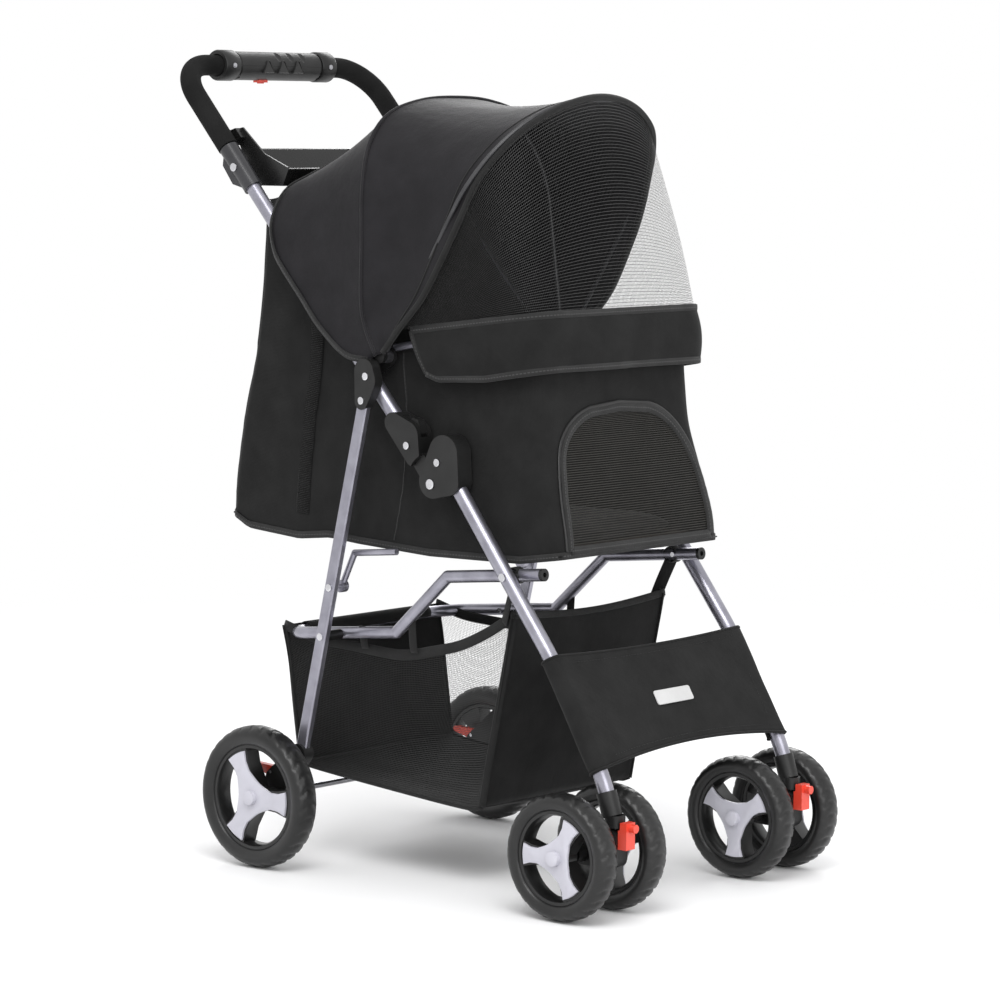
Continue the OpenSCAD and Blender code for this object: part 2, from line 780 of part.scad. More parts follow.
module front_spider(s, o) {
    color([0.78, 0.77, 0.82]) translate(front_hub(s, o)) mirror([o > 0 ? 0 : 1, 0, 0])
        spider(front_wheel_r, tyre_w);
}

module rear_tyre(s) {
    color([0.05, 0.05, 0.06]) translate([s * track_half, rear_axle_y, rear_wheel_r])
        tyre(rear_wheel_r, tyre_w);
}

module rear_spider(s) {
    color([0.78, 0.77, 0.82]) translate([s * track_half, rear_axle_y, rear_wheel_r])
        mirror([s > 0 ? 0 : 1, 0, 0]) spider(rear_wheel_r, tyre_w);
}

// ---- Casters ----

module caster_housing(s) {
    c = frame_half - 1;
    color([0.07, 0.07, 0.08]) side(s) difference() {
        union() {
            side_plate(c - 11, c + 11) hull() {
                spot([swivel_y + 1, 95], 11.5);
                spot([swivel_y + 2, 72], 12);
                spot([front_axle_y, front_wheel_r], 13);
            }
            cross_bar(c - 26, c + 26, [front_axle_y, front_wheel_r], 10);
        }
        translate([c, swivel_y, 50]) cylinder(h = 80, r = 5.05);
        cross_bar(c - 80, c + 80, [front_axle_y, front_wheel_r], axle_r + 0.02);
    }
}

module front_axle(s) {
    c = frame_half - 1;
    p = [front_axle_y, front_wheel_r];
    color([0.62, 0.62, 0.65]) side(s) {
        cross_bar(c - 64, c + 64, p, axle_r);
        for (m = [-1, 1]) translate(at(c + m * 62.2, p)) mirror([m < 0 ? 1 : 0, 0, 0])
            rivet_head(7, 2.4);
    }
}

// Red lever that drops to lock the caster straight
module caster_lock(s) {
    c = frame_half - 1;
    color([0.92, 0.25, 0.17]) side(s) {
        translate([c - 8, swivel_y - 23, 84]) cube([16, 9.5, 31]);
        translate([c - 8, swivel_y - 14, 84]) cube([16, 3.2, 22]);
        translate([c, swivel_y - 31, 109]) rotate([-90, 0, 0]) cylinder(h = 10, r = 5);
    }
}

front_leg(1);  // front_leg_left
front_leg(-1);  // front_leg_right
latch_lowers();
caster_sockets();
front_rivets();
valance();
handle_tube();
side_tubes();
handle_sleeves();
handle_grips();
console_top();
console_base();
release_button();
tray();
latch_upper(1);  // latch_upper_left
latch_upper(-1);  // latch_upper_right
latch_catch(1);  // latch_catch_left
latch_catch(-1);  // latch_catch_right
canopy_clamps();
frame_screws();
rim_hoop();
cabin_shell();
cabin_board();
cabin_cushion();
front_door();
front_flap();
canopy_cover();
mesh_window();
canopy_mid_hoop();
canopy_front_hoop();
lower_rail();
rail_fittings();
basket();
rear_leg(1);  // rear_leg_left
rear_leg(-1);  // rear_leg_right
leg_caps();
rear_rivets();
seat_rods();
rear_axle();
brake_housings();
brake_pedal(1);  // brake_pedal_left
brake_pedal(-1);  // brake_pedal_right
rear_tyre(1);  // rear_tyre_left
rear_tyre(-1);  // rear_tyre_right
rear_spider(1);  // rear_spider_left
rear_spider(-1);  // rear_spider_right
caster_housing(1);  // caster_housing_left
caster_housing(-1);  // caster_housing_right
caster_lock(1);  // caster_lock_left
caster_lock(-1);  // caster_lock_right
front_axle(1);  // front_axle_left
front_axle(-1);  // front_axle_right
front_tyre(1, 1);  // front_tyre_left_outer
front_spider(1, 1);  // front_spider_left_outer
front_tyre(1, -1);  // front_tyre_left_inner
front_spider(1, -1);  // front_spider_left_inner
front_tyre(-1, -1);  // front_tyre_right_outer
front_spider(-1, -1);  // front_spider_right_outer
front_tyre(-1, 1);  // front_tyre_right_inner
front_spider(-1, 1);  // front_spider_right_inner
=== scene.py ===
import json
import math

import bpy
import numpy as np
from mathutils import Matrix, Vector, noise

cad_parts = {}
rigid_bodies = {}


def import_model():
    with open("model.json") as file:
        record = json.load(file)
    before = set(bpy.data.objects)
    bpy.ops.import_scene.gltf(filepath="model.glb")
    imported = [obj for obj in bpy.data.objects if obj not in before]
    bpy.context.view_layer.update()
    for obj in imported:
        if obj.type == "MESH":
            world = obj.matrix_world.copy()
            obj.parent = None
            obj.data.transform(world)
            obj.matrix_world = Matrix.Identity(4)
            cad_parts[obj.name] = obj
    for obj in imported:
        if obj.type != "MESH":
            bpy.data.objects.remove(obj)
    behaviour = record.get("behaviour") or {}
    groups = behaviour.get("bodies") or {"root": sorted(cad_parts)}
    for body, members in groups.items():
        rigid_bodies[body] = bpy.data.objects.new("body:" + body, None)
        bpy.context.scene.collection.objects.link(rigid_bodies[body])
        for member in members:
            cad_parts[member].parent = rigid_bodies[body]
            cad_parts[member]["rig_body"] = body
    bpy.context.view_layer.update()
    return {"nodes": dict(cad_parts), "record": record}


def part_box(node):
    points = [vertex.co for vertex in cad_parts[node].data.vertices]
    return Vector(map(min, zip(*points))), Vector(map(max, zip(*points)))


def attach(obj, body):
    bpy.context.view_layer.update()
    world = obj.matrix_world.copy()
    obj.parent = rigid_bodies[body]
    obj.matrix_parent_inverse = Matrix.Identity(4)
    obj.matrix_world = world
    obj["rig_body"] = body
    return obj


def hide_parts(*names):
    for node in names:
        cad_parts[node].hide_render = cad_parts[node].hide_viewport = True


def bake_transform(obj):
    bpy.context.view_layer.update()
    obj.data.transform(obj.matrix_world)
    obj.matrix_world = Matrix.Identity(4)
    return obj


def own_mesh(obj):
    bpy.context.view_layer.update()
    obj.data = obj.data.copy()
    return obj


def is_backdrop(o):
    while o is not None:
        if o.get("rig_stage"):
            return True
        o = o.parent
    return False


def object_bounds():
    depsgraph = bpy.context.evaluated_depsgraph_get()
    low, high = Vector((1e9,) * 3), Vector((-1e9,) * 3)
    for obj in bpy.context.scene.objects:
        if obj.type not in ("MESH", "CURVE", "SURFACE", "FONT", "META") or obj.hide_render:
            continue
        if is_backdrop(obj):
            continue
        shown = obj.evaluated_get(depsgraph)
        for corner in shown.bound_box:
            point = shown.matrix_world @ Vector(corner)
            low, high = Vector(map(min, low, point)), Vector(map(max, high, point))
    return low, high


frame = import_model()
nodes = frame["nodes"]

# ---- Curves and surfaces, in millimetres ----


def even(dense, n):
    """n points spaced evenly along a polyline."""
    dense = np.asarray(dense, float)
    step = np.linalg.norm(np.diff(dense, axis=0), axis=1)
    s = np.r_[0, np.cumsum(step)]
    u = np.linspace(0, s[-1], n)
    return np.stack([np.interp(u, s, dense[:, k]) for k in range(dense.shape[1])], 1)


def spline(points, n):
    """Smooth curve through points, as n even points."""
    p = np.asarray(points, float)
    q = np.vstack([2 * p[0] - p[1], p, 2 * p[-1] - p[-2]])
    out = []
    for i in range(len(p) - 1):
        a, b, c, d = q[i : i + 4]
        t = np.linspace(0, 1, 20, endpoint=False)[:, None]
        cubic = (3 * b - a - 3 * c + d) * t**3
        out.append(0.5 * (2 * b + (c - a) * t + (2 * a - 5 * b + 4 * c - d) * t * t + cubic))
    return even(np.vstack(out + [p[-1:]]), n)


def across(half, n):
    """A curve over the whole width from the points of its right-hand half, foot to crown."""
    half = np.asarray(half, float)
    other = half[-2::-1] * [-1, 1, 1]
    return spline(np.vstack([half, other]), n)


def coons(bottom, top, left, right):
    """Surface that fills four edges: bottom and top run the same way, left and right upwards."""
    nu, nv = len(bottom), len(left)
    u = np.linspace(0, 1, nu)[None, :, None]
    v = np.linspace(0, 1, nv)[:, None, None]
    ruled_v = (1 - v) * bottom[None] + v * top[None]
    ruled_u = (1 - u) * left[:, None] + u * right[:, None]
    corners = (
        (1 - u) * (1 - v) * bottom[0]
        + u * (1 - v) * bottom[-1]
        + (1 - u) * v * top[0]
        + u * v * top[-1]
    )
    return ruled_v + ruled_u - corners


def normals(P):
    """Unit normals of a surface given as rows of points."""
    du = np.gradient(P, axis=1)
    dv = np.gradient(P, axis=0)
    n = np.cross(du, dv)
    return n / np.maximum(np.linalg.norm(n, axis=2, keepdims=True), 1e-9)


def noise_at(P, size, seed, stretch=(1, 1, 1)):
    """Smooth noise over a surface, with bumps about size millimetres wide."""
    flat = P.reshape(-1, 3) / size * np.array(stretch)
    values = [noise.noise(Vector(p) + Vector((seed, 2.3 * seed, -seed))) for p in flat]
    return np.array(values).reshape(P.shape[:2])


def edge_fade(P, power):
    """Weight that is 0 on the four edges of a surface and 1 in its middle."""
    nv, nu = P.shape[:2]
    u = np.sin(np.linspace(0, math.pi, nu)) ** power
    v = np.sin(np.linspace(0, math.pi, nv)) ** power
    return np.outer(v, u)


def flipped(P):
    """The same surface on the other side of the stroller."""
    return (P * [-1, 1, 1])[:, ::-1]


def circle(radius, n):
    """Round outline of n points."""
    angles = np.linspace(0, 2 * math.pi, n + 1)[:-1]
    return [(radius * math.cos(a), radius * math.sin(a)) for a in angles]


def turned_about(points, angle):
    """Flat points turned about the origin."""
    ca, sa = math.cos(angle), math.sin(angle)
    return [(x * ca - y * sa, x * sa + y * ca) for x, y in points]


class Build:
    """Collects surfaces and strips into one mesh, with UVs in metres."""

    def __init__(self):
        self.v, self.f, self.uv = [], [], []

    def grid(self, P, keep=None):
        nv, nu = P.shape[:2]
        base = len(self.v)
        du = np.linalg.norm(np.diff(P, axis=1), axis=2).mean(0)
        dv = np.linalg.norm(np.diff(P, axis=0), axis=2).mean(1)
        su, sv = np.r_[0, np.cumsum(du)], np.r_[0, np.cumsum(dv)]
        for j in range(nv):
            for i in range(nu):
                self.v.append(tuple(P[j, i] * 0.001))
                self.uv.append((su[i] * 0.001, sv[j] * 0.001))
        for j in range(nv - 1):
            for i in range(nu - 1):
                if keep is None or keep(P[j : j + 2, i : i + 2].reshape(-1, 3).mean(0)):
                    a = base + j * nu + i
                    self.f.append((a, a + 1, a + nu + 1, a + nu))
        return self

    def tube(self, pts, w, t=None, face=None, sides=10, caps=True):
        """Tube or flat strip along pts: w wide, t thick, its broad side turned to face."""
        pts = np.asarray(pts, float)
        t = w if t is None else t
        tangent = np.gradient(pts, axis=0)
        tangent /= np.maximum(np.linalg.norm(tangent, axis=1, keepdims=True), 1e-9)
        if face is None:
            up = np.array([0, 0, 1.0]) if abs(tangent[0][2]) < 0.8 else np.array([1.0, 0, 0])
            side = np.cross(tangent[0], up)
            rows = []
            for k in range(len(pts)):
                side = side - tangent[k] * (side @ tangent[k])
                side /= np.linalg.norm(side)
                rows.append(side)
            side = np.array(rows)
        else:
            face = np.broadcast_to(np.asarray(face, float), pts.shape)
            side = np.cross(tangent, face)
            side /= np.maximum(np.linalg.norm(side, axis=1, keepdims=True), 1e-9)
        out = np.cross(side, tangent)
        a = np.linspace(0, 2 * math.pi, sides + 1)
        power = 1 if t == w else 0.55
        cs = np.sign(np.cos(a)) * np.abs(np.cos(a)) ** power * w / 2
        sn = np.sign(np.sin(a)) * np.abs(np.sin(a)) ** power * t / 2
        P = pts[:, None] + side[:, None] * cs[None, :, None] + out[:, None] * sn[None, :, None]
        base = len(self.v)
        self.grid(P)
        nu = sides + 1
        s = np.r_[0, np.cumsum(np.linalg.norm(np.diff(pts, axis=0), axis=1))] * 0.001
        for j in range(len(pts)):
            for i in range(nu):
                self.uv[base + j * nu + i] = (s[j], cs[i] / w + 0.5)
        if caps:
            last = base + (len(pts) - 1) * nu
            self.f.append(tuple(base + i for i in range(sides))[::-1])
            self.f.append(tuple(last + i for i in range(sides)))
        return self

    def turned(self, profile, centre, axis, segments, bumps=None):
        """Closed ring from a profile of (radius, along the axis) points."""
        profile = np.asarray(profile, float)
        axis = np.asarray(axis, float)
        first = np.array([0, 1.0, 0]) if abs(axis[0]) > 0.5 else np.array([1.0, 0, 0])
        second = np.cross(axis, first)
        base, n = len(self.v), len(profile)
        for s in range(segments):
            a = 2 * math.pi * s / segments
            out = first * math.cos(a) + second * math.sin(a)
            for k, (r, h) in enumerate(profile):
                r2 = r + (bumps(a, k) if bumps else 0)
                self.v.append(tuple((np.asarray(centre) + out * r2 + axis * h) * 0.001))
                self.uv.append((a * profile[:, 0].max() * 0.001, k / n))
        for s in range(segments):
            for k in range(n):
                k2, s2 = (k + 1) % n, (s + 1) % segments
                here, there = base + s * n, base + s2 * n
                self.f.append((here + k, there + k, there + k2, here + k2))
        return self

    def prism(self, outline, height, place, bevel=0):
        """Plate of an outline, bevelled at its top edge. place maps (x, y, z) to millimetres."""
        outline = np.asarray(outline, float)
        centre = outline.mean(0)
        rings = [(outline, 0.0), (outline, height - bevel)]
        if bevel:
            edge = np.roll(outline, -1, 0) - np.roll(outline, 1, 0)
            edge /= np.linalg.norm(edge, axis=1, keepdims=True)
            inward = np.stack([-edge[:, 1], edge[:, 0]], 1)
            rings.append((outline + inward * bevel * 0.3, height - bevel * 0.3))
            rings.append((outline + inward * bevel, height))
        base, n = len(self.v), len(outline)
        for ring, h in rings:
            for x, y in ring:
                self.v.append(tuple(np.asarray(place(x, y, h)) * 0.001))
                self.uv.append((x * 0.001, y * 0.001))
        for j in range(len(rings) - 1):
            for i in range(n):
                a, b = base + j * n + i, base + j * n + (i + 1) % n
                self.f.append((a, b, b + n, a + n))
        self.f.append(tuple(base + i for i in range(n))[::-1])
        self.f.append(tuple(base + (len(rings) - 1) * n + i for i in range(n)))
        return self

    def object(self, name, material, slot=None, thick=0, smooth=True, offset=0.0, angle=None):
        mesh = bpy.data.meshes.new(name)
        mesh.from_pydata(self.v, [], self.f)
        layer = mesh.uv_layers.new(name="metres")
        index = np.zeros(len(mesh.loops), np.int32)
        mesh.loops.foreach_get("vertex_index", index)
        layer.data.foreach_set("uv", np.array(self.uv, np.float32)[index].ravel())
        mesh.polygons.foreach_set("use_smooth", [smooth] * len(mesh.polygons))
        mesh.materials.append(material)
        obj = bpy.data.objects.new(name, mesh)
        bpy.context.scene.collection.objects.link(obj)
        if thick:
            solid = obj.modifiers.new("thickness", "SOLIDIFY")
            solid.thickness, solid.offset = thick * 0.001, offset
        if angle:
            mesh.set_sharp_from_angle(angle=math.radians(angle))
        return obj


# ---- Materials ----


class Nodes:
    """A material's node tree with short calls for what is used here."""

    def __init__(self, name, **sockets):
        self.m = bpy.data.materials.new(name)
        self.m.use_nodes = True
        self.t = self.m.node_tree
        self.out = self.t.nodes["Material Output"]
        self.b = self.t.nodes["Principled BSDF"]
        for k, v in sockets.items():
            self.b.inputs[k.replace("_", " ")].default_value = v
        self.place = self.t.nodes.new("ShaderNodeTexCoord")

    def new(self, kind, **values):
        n = self.t.nodes.new(kind)
        for k, v in values.items():
            if hasattr(n, k):
                setattr(n, k, v)
            else:
                n.inputs[k.replace("_", " ")].default_value = v
        return n

    def link(self, a, b):
        self.t.links.new(a, b)

    def noise(self, scale, detail=3, source="Object", roughness=0.55):
        n = self.new("ShaderNodeTexNoise", Scale=scale, Detail=detail, Roughness=roughness)
        self.link(self.place.outputs[source], n.inputs["Vector"])
        return n.outputs["Fac"]

    def bands(self, period, direction, source="UV"):
        n = self.new("ShaderNodeTexWave", bands_direction=direction, Scale=math.pi / 10 / period)
        self.link(self.place.outputs[source], n.inputs["Vector"])
        return n.outputs["Fac"]

    def math(self, op, a, b=0.0):
        n = self.new("ShaderNodeMath", operation=op)
        for k, x in enumerate((a, b)):
            if isinstance(x, (int, float)):
                n.inputs[k].default_value = x
            else:
                self.link(x, n.inputs[k])
        return n.outputs[0]

    def ramp(self, fac, low, high, a=0.0, b=1.0):
        n = self.new("ShaderNodeValToRGB")
        n.color_ramp.elements[0].position, n.color_ramp.elements[0].color = a, (*low, 1)
        n.color_ramp.elements[1].position, n.color_ramp.elements[1].color = b, (*high, 1)
        self.link(fac, n.inputs[0])
        return n.outputs[0]

    def color(self, fac, low, high, a=0.3, b=0.7):
        self.link(self.ramp(fac, low, high, a, b), self.b.inputs["Base Color"])
        return self

    def rough(self, fac, low, high):
        n = self.new("ShaderNodeMapRange")
        n.inputs["To Min"].default_value, n.inputs["To Max"].default_value = low, high
        self.link(fac, n.inputs["Value"])
        self.link(n.outputs[0], self.b.inputs["Roughness"])
        return self

    def bump(self, height, strength, distance=0.001):
        n = self.new("ShaderNodeBump", Strength=strength, Distance=distance)
        self.link(height, n.inputs["Height"])
        if self.b.inputs["Normal"].is_linked:
            self.link(self.b.inputs["Normal"].links[0].from_socket, n.inputs["Normal"])
        self.link(n.outputs[0], self.b.inputs["Normal"])
        return self


def grey(v, tint=(1, 1, 1)):
    """Grey of value v, with a slight tint."""
    return tuple(v * c for c in tint)


def cloth(name, dark, light, weave=1.3, sheen=0.25, rough=(0.75, 0.95), bump=0.35, tint=(1, 1, 1)):
    """Plain woven cloth: crossing threads, slight colour variation and small creases."""
    n = Nodes(name, Sheen_Weight=sheen, Sheen_Roughness=0.4, Specular_IOR_Level=0.12)
    threads = n.math("MULTIPLY", n.bands(weave * 0.001, "X"), n.bands(weave * 0.001, "Y"))
    mottle = n.noise(26, 4)
    mixed = n.math("ADD", n.math("MULTIPLY", threads, 0.35), n.math("MULTIPLY", mottle, 0.65))
    n.color(mixed, grey(dark, tint), grey(light, tint), 0.25, 0.75)
    n.rough(n.noise(9, 2), *rough)
    n.bump(n.noise(11, 5), 0.4, 0.008)
    n.bump(n.noise(90, 3), 0.15, 0.001)
    n.bump(threads, bump, 0.0004)
    return n.m


def netting(name, cover, dark, light, cell=2.2, ribs=False):
    """Open net. cover is the share of each cell's side that its threads take."""
    n = Nodes(name, Roughness=0.5, Specular_IOR_Level=0.25)
    a = n.bands(cell * 0.001, "X")
    b = n.bands(cell * 0.001 * (1.6 if ribs else 1), "Y")
    limit = math.cos(math.pi * cover) * 0.5 + 0.5
    thread = n.math("GREATER_THAN", n.math("MAXIMUM", a, b), limit)
    n.color(n.math("ADD", n.math("MULTIPLY", b, 0.6), n.math("MULTIPLY", n.noise(60, 3), 0.4)),
            dark, light, 0.2, 0.8)
    n.bump(n.math("MAXIMUM", a, b), 0.5, 0.0006)
    clear = n.new("ShaderNodeBsdfTransparent")
    mix = n.new("ShaderNodeMixShader")
    n.link(thread, mix.inputs[0])
    n.link(clear.outputs[0], mix.inputs[1])
    n.link(n.b.outputs[0], mix.inputs[2])
    n.link(mix.outputs[0], n.out.inputs["Surface"])
    return n.m


def binding(name, dark, light, stitch=0.0):
    """Ribbed tape; with stitch, a run of stitches along its middle."""
    n = Nodes(name, Sheen_Weight=0.08, Specular_IOR_Level=0.2)
    ribs = n.bands(0.0011, "X")
    fac = n.math("ADD", n.math("MULTIPLY", ribs, 0.4), n.math("MULTIPLY", n.noise(45, 4), 0.6))
    base = n.ramp(fac, grey(dark), grey(light), 0.25, 0.8)
    if stitch:
        xyz = n.new("ShaderNodeSeparateXYZ")
        n.link(n.place.outputs["UV"], xyz.inputs[0])
        near = n.math("LESS_THAN", n.math("ABSOLUTE", n.math("SUBTRACT", xyz.outputs[1], 0.5)), 0.07)
        dash = n.math("GREATER_THAN", n.bands(0.0045, "X"), 0.35)
        on = n.math("MULTIPLY", near, dash)
        mix = n.new("ShaderNodeMix", data_type="RGBA")
        n.link(on, mix.inputs["Factor"])
        n.link(base, mix.inputs["A"])
        mix.inputs["B"].default_value = (*grey(stitch), 1)
        base = mix.outputs["Result"]
        n.bump(on, 0.6, 0.0008)
    n.link(base, n.b.inputs["Base Color"])
    n.rough(n.noise(30, 2), 0.6, 0.85)
    n.bump(ribs, 0.5, 0.0005)
    n.bump(n.noise(35, 3), 0.4, 0.002)
    return n.m


def moulded(name, dark, light, rough=(0.38, 0.52), grain=900, coat=0.0, bump=0.12, tint=(1, 1, 1),
            shine=0.4):
    """Moulded plastic with a fine grain and faint handling marks."""
    n = Nodes(name, Coat_Weight=coat, Coat_Roughness=0.15, Specular_IOR_Level=shine)
    n.color(n.noise(18, 5), grey(dark, tint), grey(light, tint))
    n.rough(n.noise(55, 5), *rough)
    n.bump(n.noise(grain, 2), bump, 0.0004)
    return n.m


def metal(name, dark, light, rough, metallic=1.0, coat=0.0, brushed=0.0):
    """Bare or coated metal with a fine grain."""
    n = Nodes(name, Metallic=metallic, Coat_Weight=coat, Coat_Roughness=0.2)
    n.color(n.noise(40, 5), dark, light)
    n.rough(n.noise(70, 5), *rough)
    n.bump(n.noise(1400, 2), 0.05 + brushed, 0.0002)
    return n.m


LILAC = (0.96, 0.95, 1.06)
mat = {
    "tube": metal("tube_paint", (0.25, 0.245, 0.29), (0.36, 0.355, 0.41), (0.24, 0.36), 0.85, 0.3),
    "bright": metal("zinc", (0.55, 0.55, 0.57), (0.75, 0.75, 0.78), (0.15, 0.3)),
    "steel": metal("drawn_steel", (0.3, 0.3, 0.32), (0.5, 0.5, 0.53), (0.25, 0.42), brushed=0.1),
    "wire": metal("coated_wire", (0.018, 0.018, 0.02), (0.04, 0.04, 0.043), (0.35, 0.5), 0.0),
    "black_plastic": moulded("nylon_black", 0.007, 0.016, (0.32, 0.48), bump=0.2, shine=0.35),
    "tray_plastic": moulded("tray_black", 0.006, 0.012, (0.2, 0.34), 700, 0.1, shine=0.4),
    "sleeve": moulded("sleeve_grey", 0.016, 0.03, (0.25, 0.38), 900, 0.15, tint=(1, 1, 1.12)),
    "foam": moulded("foam_black", 0.006, 0.012, (0.8, 0.95), 1300, 0, 0.8, shine=0.12),
    "tyre": moulded("tyre_black", 0.007, 0.014, (0.3, 0.42), 700, 0.06, 0.15, shine=0.4),
    "wheel": moulded("wheel_black", 0.006, 0.012, (0.28, 0.4), 700, 0.1, 0.15),
    "trim": moulded("trim_lilac", 0.47, 0.55, (0.28, 0.4), 1200, 0.2, 0.06, LILAC),
    "red": moulded("red_plastic", 0.62, 0.72, (0.25, 0.38), 900, 0.3, 0.08, (1.1, 0.09, 0.05)),
    "fabric": cloth("cabin_cloth", 0.009, 0.019, 1.3, 0.06),
    "inner": cloth("lining_cloth", 0.004, 0.009, 1.3, 0.02),
    "canopy": cloth("canopy_cloth", 0.010, 0.019, 1.1, 0.12, (0.5, 0.66), 0.2, (1.0, 0.95, 1.08)),
    "front_cloth": cloth("front_cloth", 0.010, 0.021, 1.5, 0.07),
    "plush": cloth("pad_cloth", 0.012, 0.026, 2.4, 0.2, (0.9, 1.0), 0.8),
    "tape": binding("edge_tape", 0.008, 0.026, 0.05),
    "piping": binding("piping", 0.005, 0.014),
    "webbing": binding("webbing", 0.005, 0.014),
    "hook_tape": cloth("hook_tape", 0.002, 0.006, 2.2, 0.1, (0.9, 1.0), 1.0),
    "zip": moulded("zip_black", 0.006, 0.014, (0.3, 0.45), 500, 0.1),
    "net": netting("window_net", 0.125, grey(0.012), grey(0.05), 2.4),
    "basket_net": netting("basket_net", 0.15, grey(0.008), grey(0.032), 2.4),
    "door_net": netting("door_net", 0.36, grey(0.003), grey(0.022, (1.1, 1.03, 0.88)), 1.8, True),
    "label": cloth("label_cloth", 0.5, 0.62, 0.8, 0.1),
    "board": moulded("hardboard", 0.05, 0.09, (0.7, 0.9), 300, 0, 0.4, tint=(1.1, 0.9, 0.7)),
}


# ---- Materials of the CAD pieces that stay ----

MOULDED = ("latch", "cap", "housing", "sleeves", "tray", "console", "catch", "pedal", "lock")
MOULDED_EDGE = 0.0009


def paint(piece, material):
    """Gives a CAD piece one material."""
    piece.data.materials.clear()
    piece.data.materials.append(material)


for row in frame["record"]["subparts"]:
    if row["material_slot"] in mat:
        paint(nodes[row["node"]], mat[row["material_slot"]])
paint(nodes["seat_rods"], mat["tube"])
for name in nodes:
    if any(word in name for word in MOULDED):
        bevel = nodes[name].modifiers.new("edges", "BEVEL")
        bevel.width, bevel.segments, bevel.limit_method = MOULDED_EDGE, 2, "ANGLE"
        bevel.angle_limit = math.radians(40)
        bevel.harden_normals = True

# ---- Cabin ----

BOTTOM = np.array([(278, 424), (250, 410), (164, 403), (114, 408), (65, 404), (-48, 398),
                   (-188, 400), (-249, 409)], float)
RIM = np.array([(222, 812), (177, 815), (155, 795), (127, 750), (95, 712), (38, 655), (4, 641),
                (-100, 659), (-214, 677)], float)
REAR = np.array([(278, 424), (272, 475), (249, 589), (240, 640), (232, 700), (226, 760),
                 (222, 812)], float)
FRONT = np.array([(-249, 409), (-244, 441), (-231, 489), (-215, 545), (-211, 600), (-212, 645),
                  (-214, 677)], float)
REAR_FOOT, REAR_TOP = REAR[0, 1], REAR[-1, 1]
HALF = 150
# points of one level of the wall: along a side, round a corner, across the front or rear
SIDE_POINTS, CORNER_POINTS, FRONT_POINTS = 70, 7, 64
DOOR_FOOT = 413
DOOR_HEIGHT = 160
DOOR_HALF = 133


def bottom_z(y):
    return np.interp(y, BOTTOM[::-1, 0], BOTTOM[::-1, 1])


def rim_z(y):
    return np.interp(y, RIM[::-1, 0], RIM[::-1, 1])


def front_y(v):
    return np.interp(v, np.linspace(0, 1, 40), spline(FRONT, 40)[:, 0])


def rear_y(v):
    return np.interp(v, np.linspace(0, 1, 40), spline(REAR, 40)[:, 0])


def plan(v):
    """One level of the cabin wall, from the middle of the rear round the left to the rear again."""
    yf, yr = front_y(v), rear_y(v)
    rf, rr = 12 + 30 * v, 10.0
    a = np.linspace(0, math.pi / 2, CORNER_POINTS, endpoint=False)
    half = [(x, yr) for x in np.linspace(0, HALF - rr, FRONT_POINTS // 2, endpoint=False)]
    half += [(HALF - rr + rr * math.sin(t), yr - rr + rr * math.cos(t)) for t in a]
    half += [(HALF, y) for y in np.linspace(yr - rr, yf + rf, SIDE_POINTS, endpoint=False)]
    half += [(HALF - rf + rf * math.cos(t), yf + rf - rf * math.sin(t)) for t in a]
    half += [(x, yf) for x in np.linspace(HALF - rf, 0, FRONT_POINTS // 2 + 1)]
    other = [(-x, y) for x, y in half[-2::-1]]
    return np.array(half + other)


def wall_puff(p, v):
    """How far the cloth stands off its flat panel."""
    body = math.sin(math.pi * min(1, max(0, v))) ** 0.8
    crease = noise.noise(Vector((p[0] * 0.004, p[1] * 0.016, p[2] * 0.005 + 4)))
    fine = noise.noise(Vector((p[0] * 0.02, p[1] * 0.03, p[2] * 0.012)))
    return body * (2.0 + 4.6 * crease + 1.7 * fine)


def door_half(z):
    """Half width of the door's arch at height z."""
    t = np.clip((z - DOOR_FOOT) / DOOR_HEIGHT, 0, 1)
    return DOOR_HALF * (1 - t**2.9) ** (1 / 2.9)


def cabin_wall():
    """Rows of points round the cabin from its foot to its rim, with the cloth's creases."""
    levels = np.linspace(0, 1, 60)
    rows = []
    for v in levels:
        ring = plan(v)
        zb, zt = bottom_z(ring[:, 1]), rim_z(ring[:, 1])
        rows.append(np.column_stack([ring, zb + v * (zt - zb)]))
    P = np.array(rows)
    N = normals(P)
    centre = np.array([0, 0, 600.0])
    if (N[30, 100] * (P[30, 100] - centre)).sum() < 0:
        N = -N
    for j, v in enumerate(levels):
        for i in range(P.shape[1]):
            P[j, i] += N[j, i] * wall_puff(P[j, i], v)
    return P


wall = cabin_wall()


def not_door(c):
    """Whether a face of the wall lies clear of the door's opening."""
    return not (c[1] < -190 and 416 < c[2] < 572 and abs(c[0]) < door_half(c[2]) - 3)


def nearest_wall(x=None, y=None, z=None, front=True):
    """Point of the cabin wall with the given places, on the front or on a side."""
    flat = wall.reshape(-1, 3)
    if front:
        pick = flat[flat[:, 1] < -170]
        d = (pick[:, 0] - x) ** 2 + (pick[:, 2] - z) ** 2
    else:
        pick = flat[(np.abs(flat[:, 0]) > 140) & (np.sign(flat[:, 0]) == np.sign(x))]
        d = (pick[:, 1] - y) ** 2 + (pick[:, 2] - z) ** 2
    near = np.argsort(d)[:6]
    w = 1 / (d[near] + 1)
    return (pick[near] * w[:, None]).sum(0) / w.sum()


def on_side(s, points, n):
    """Line over the side wall through (y, z) points."""
    return np.array([nearest_wall(x=s, y=y, z=z, front=False) for y, z in spline(points, n)])


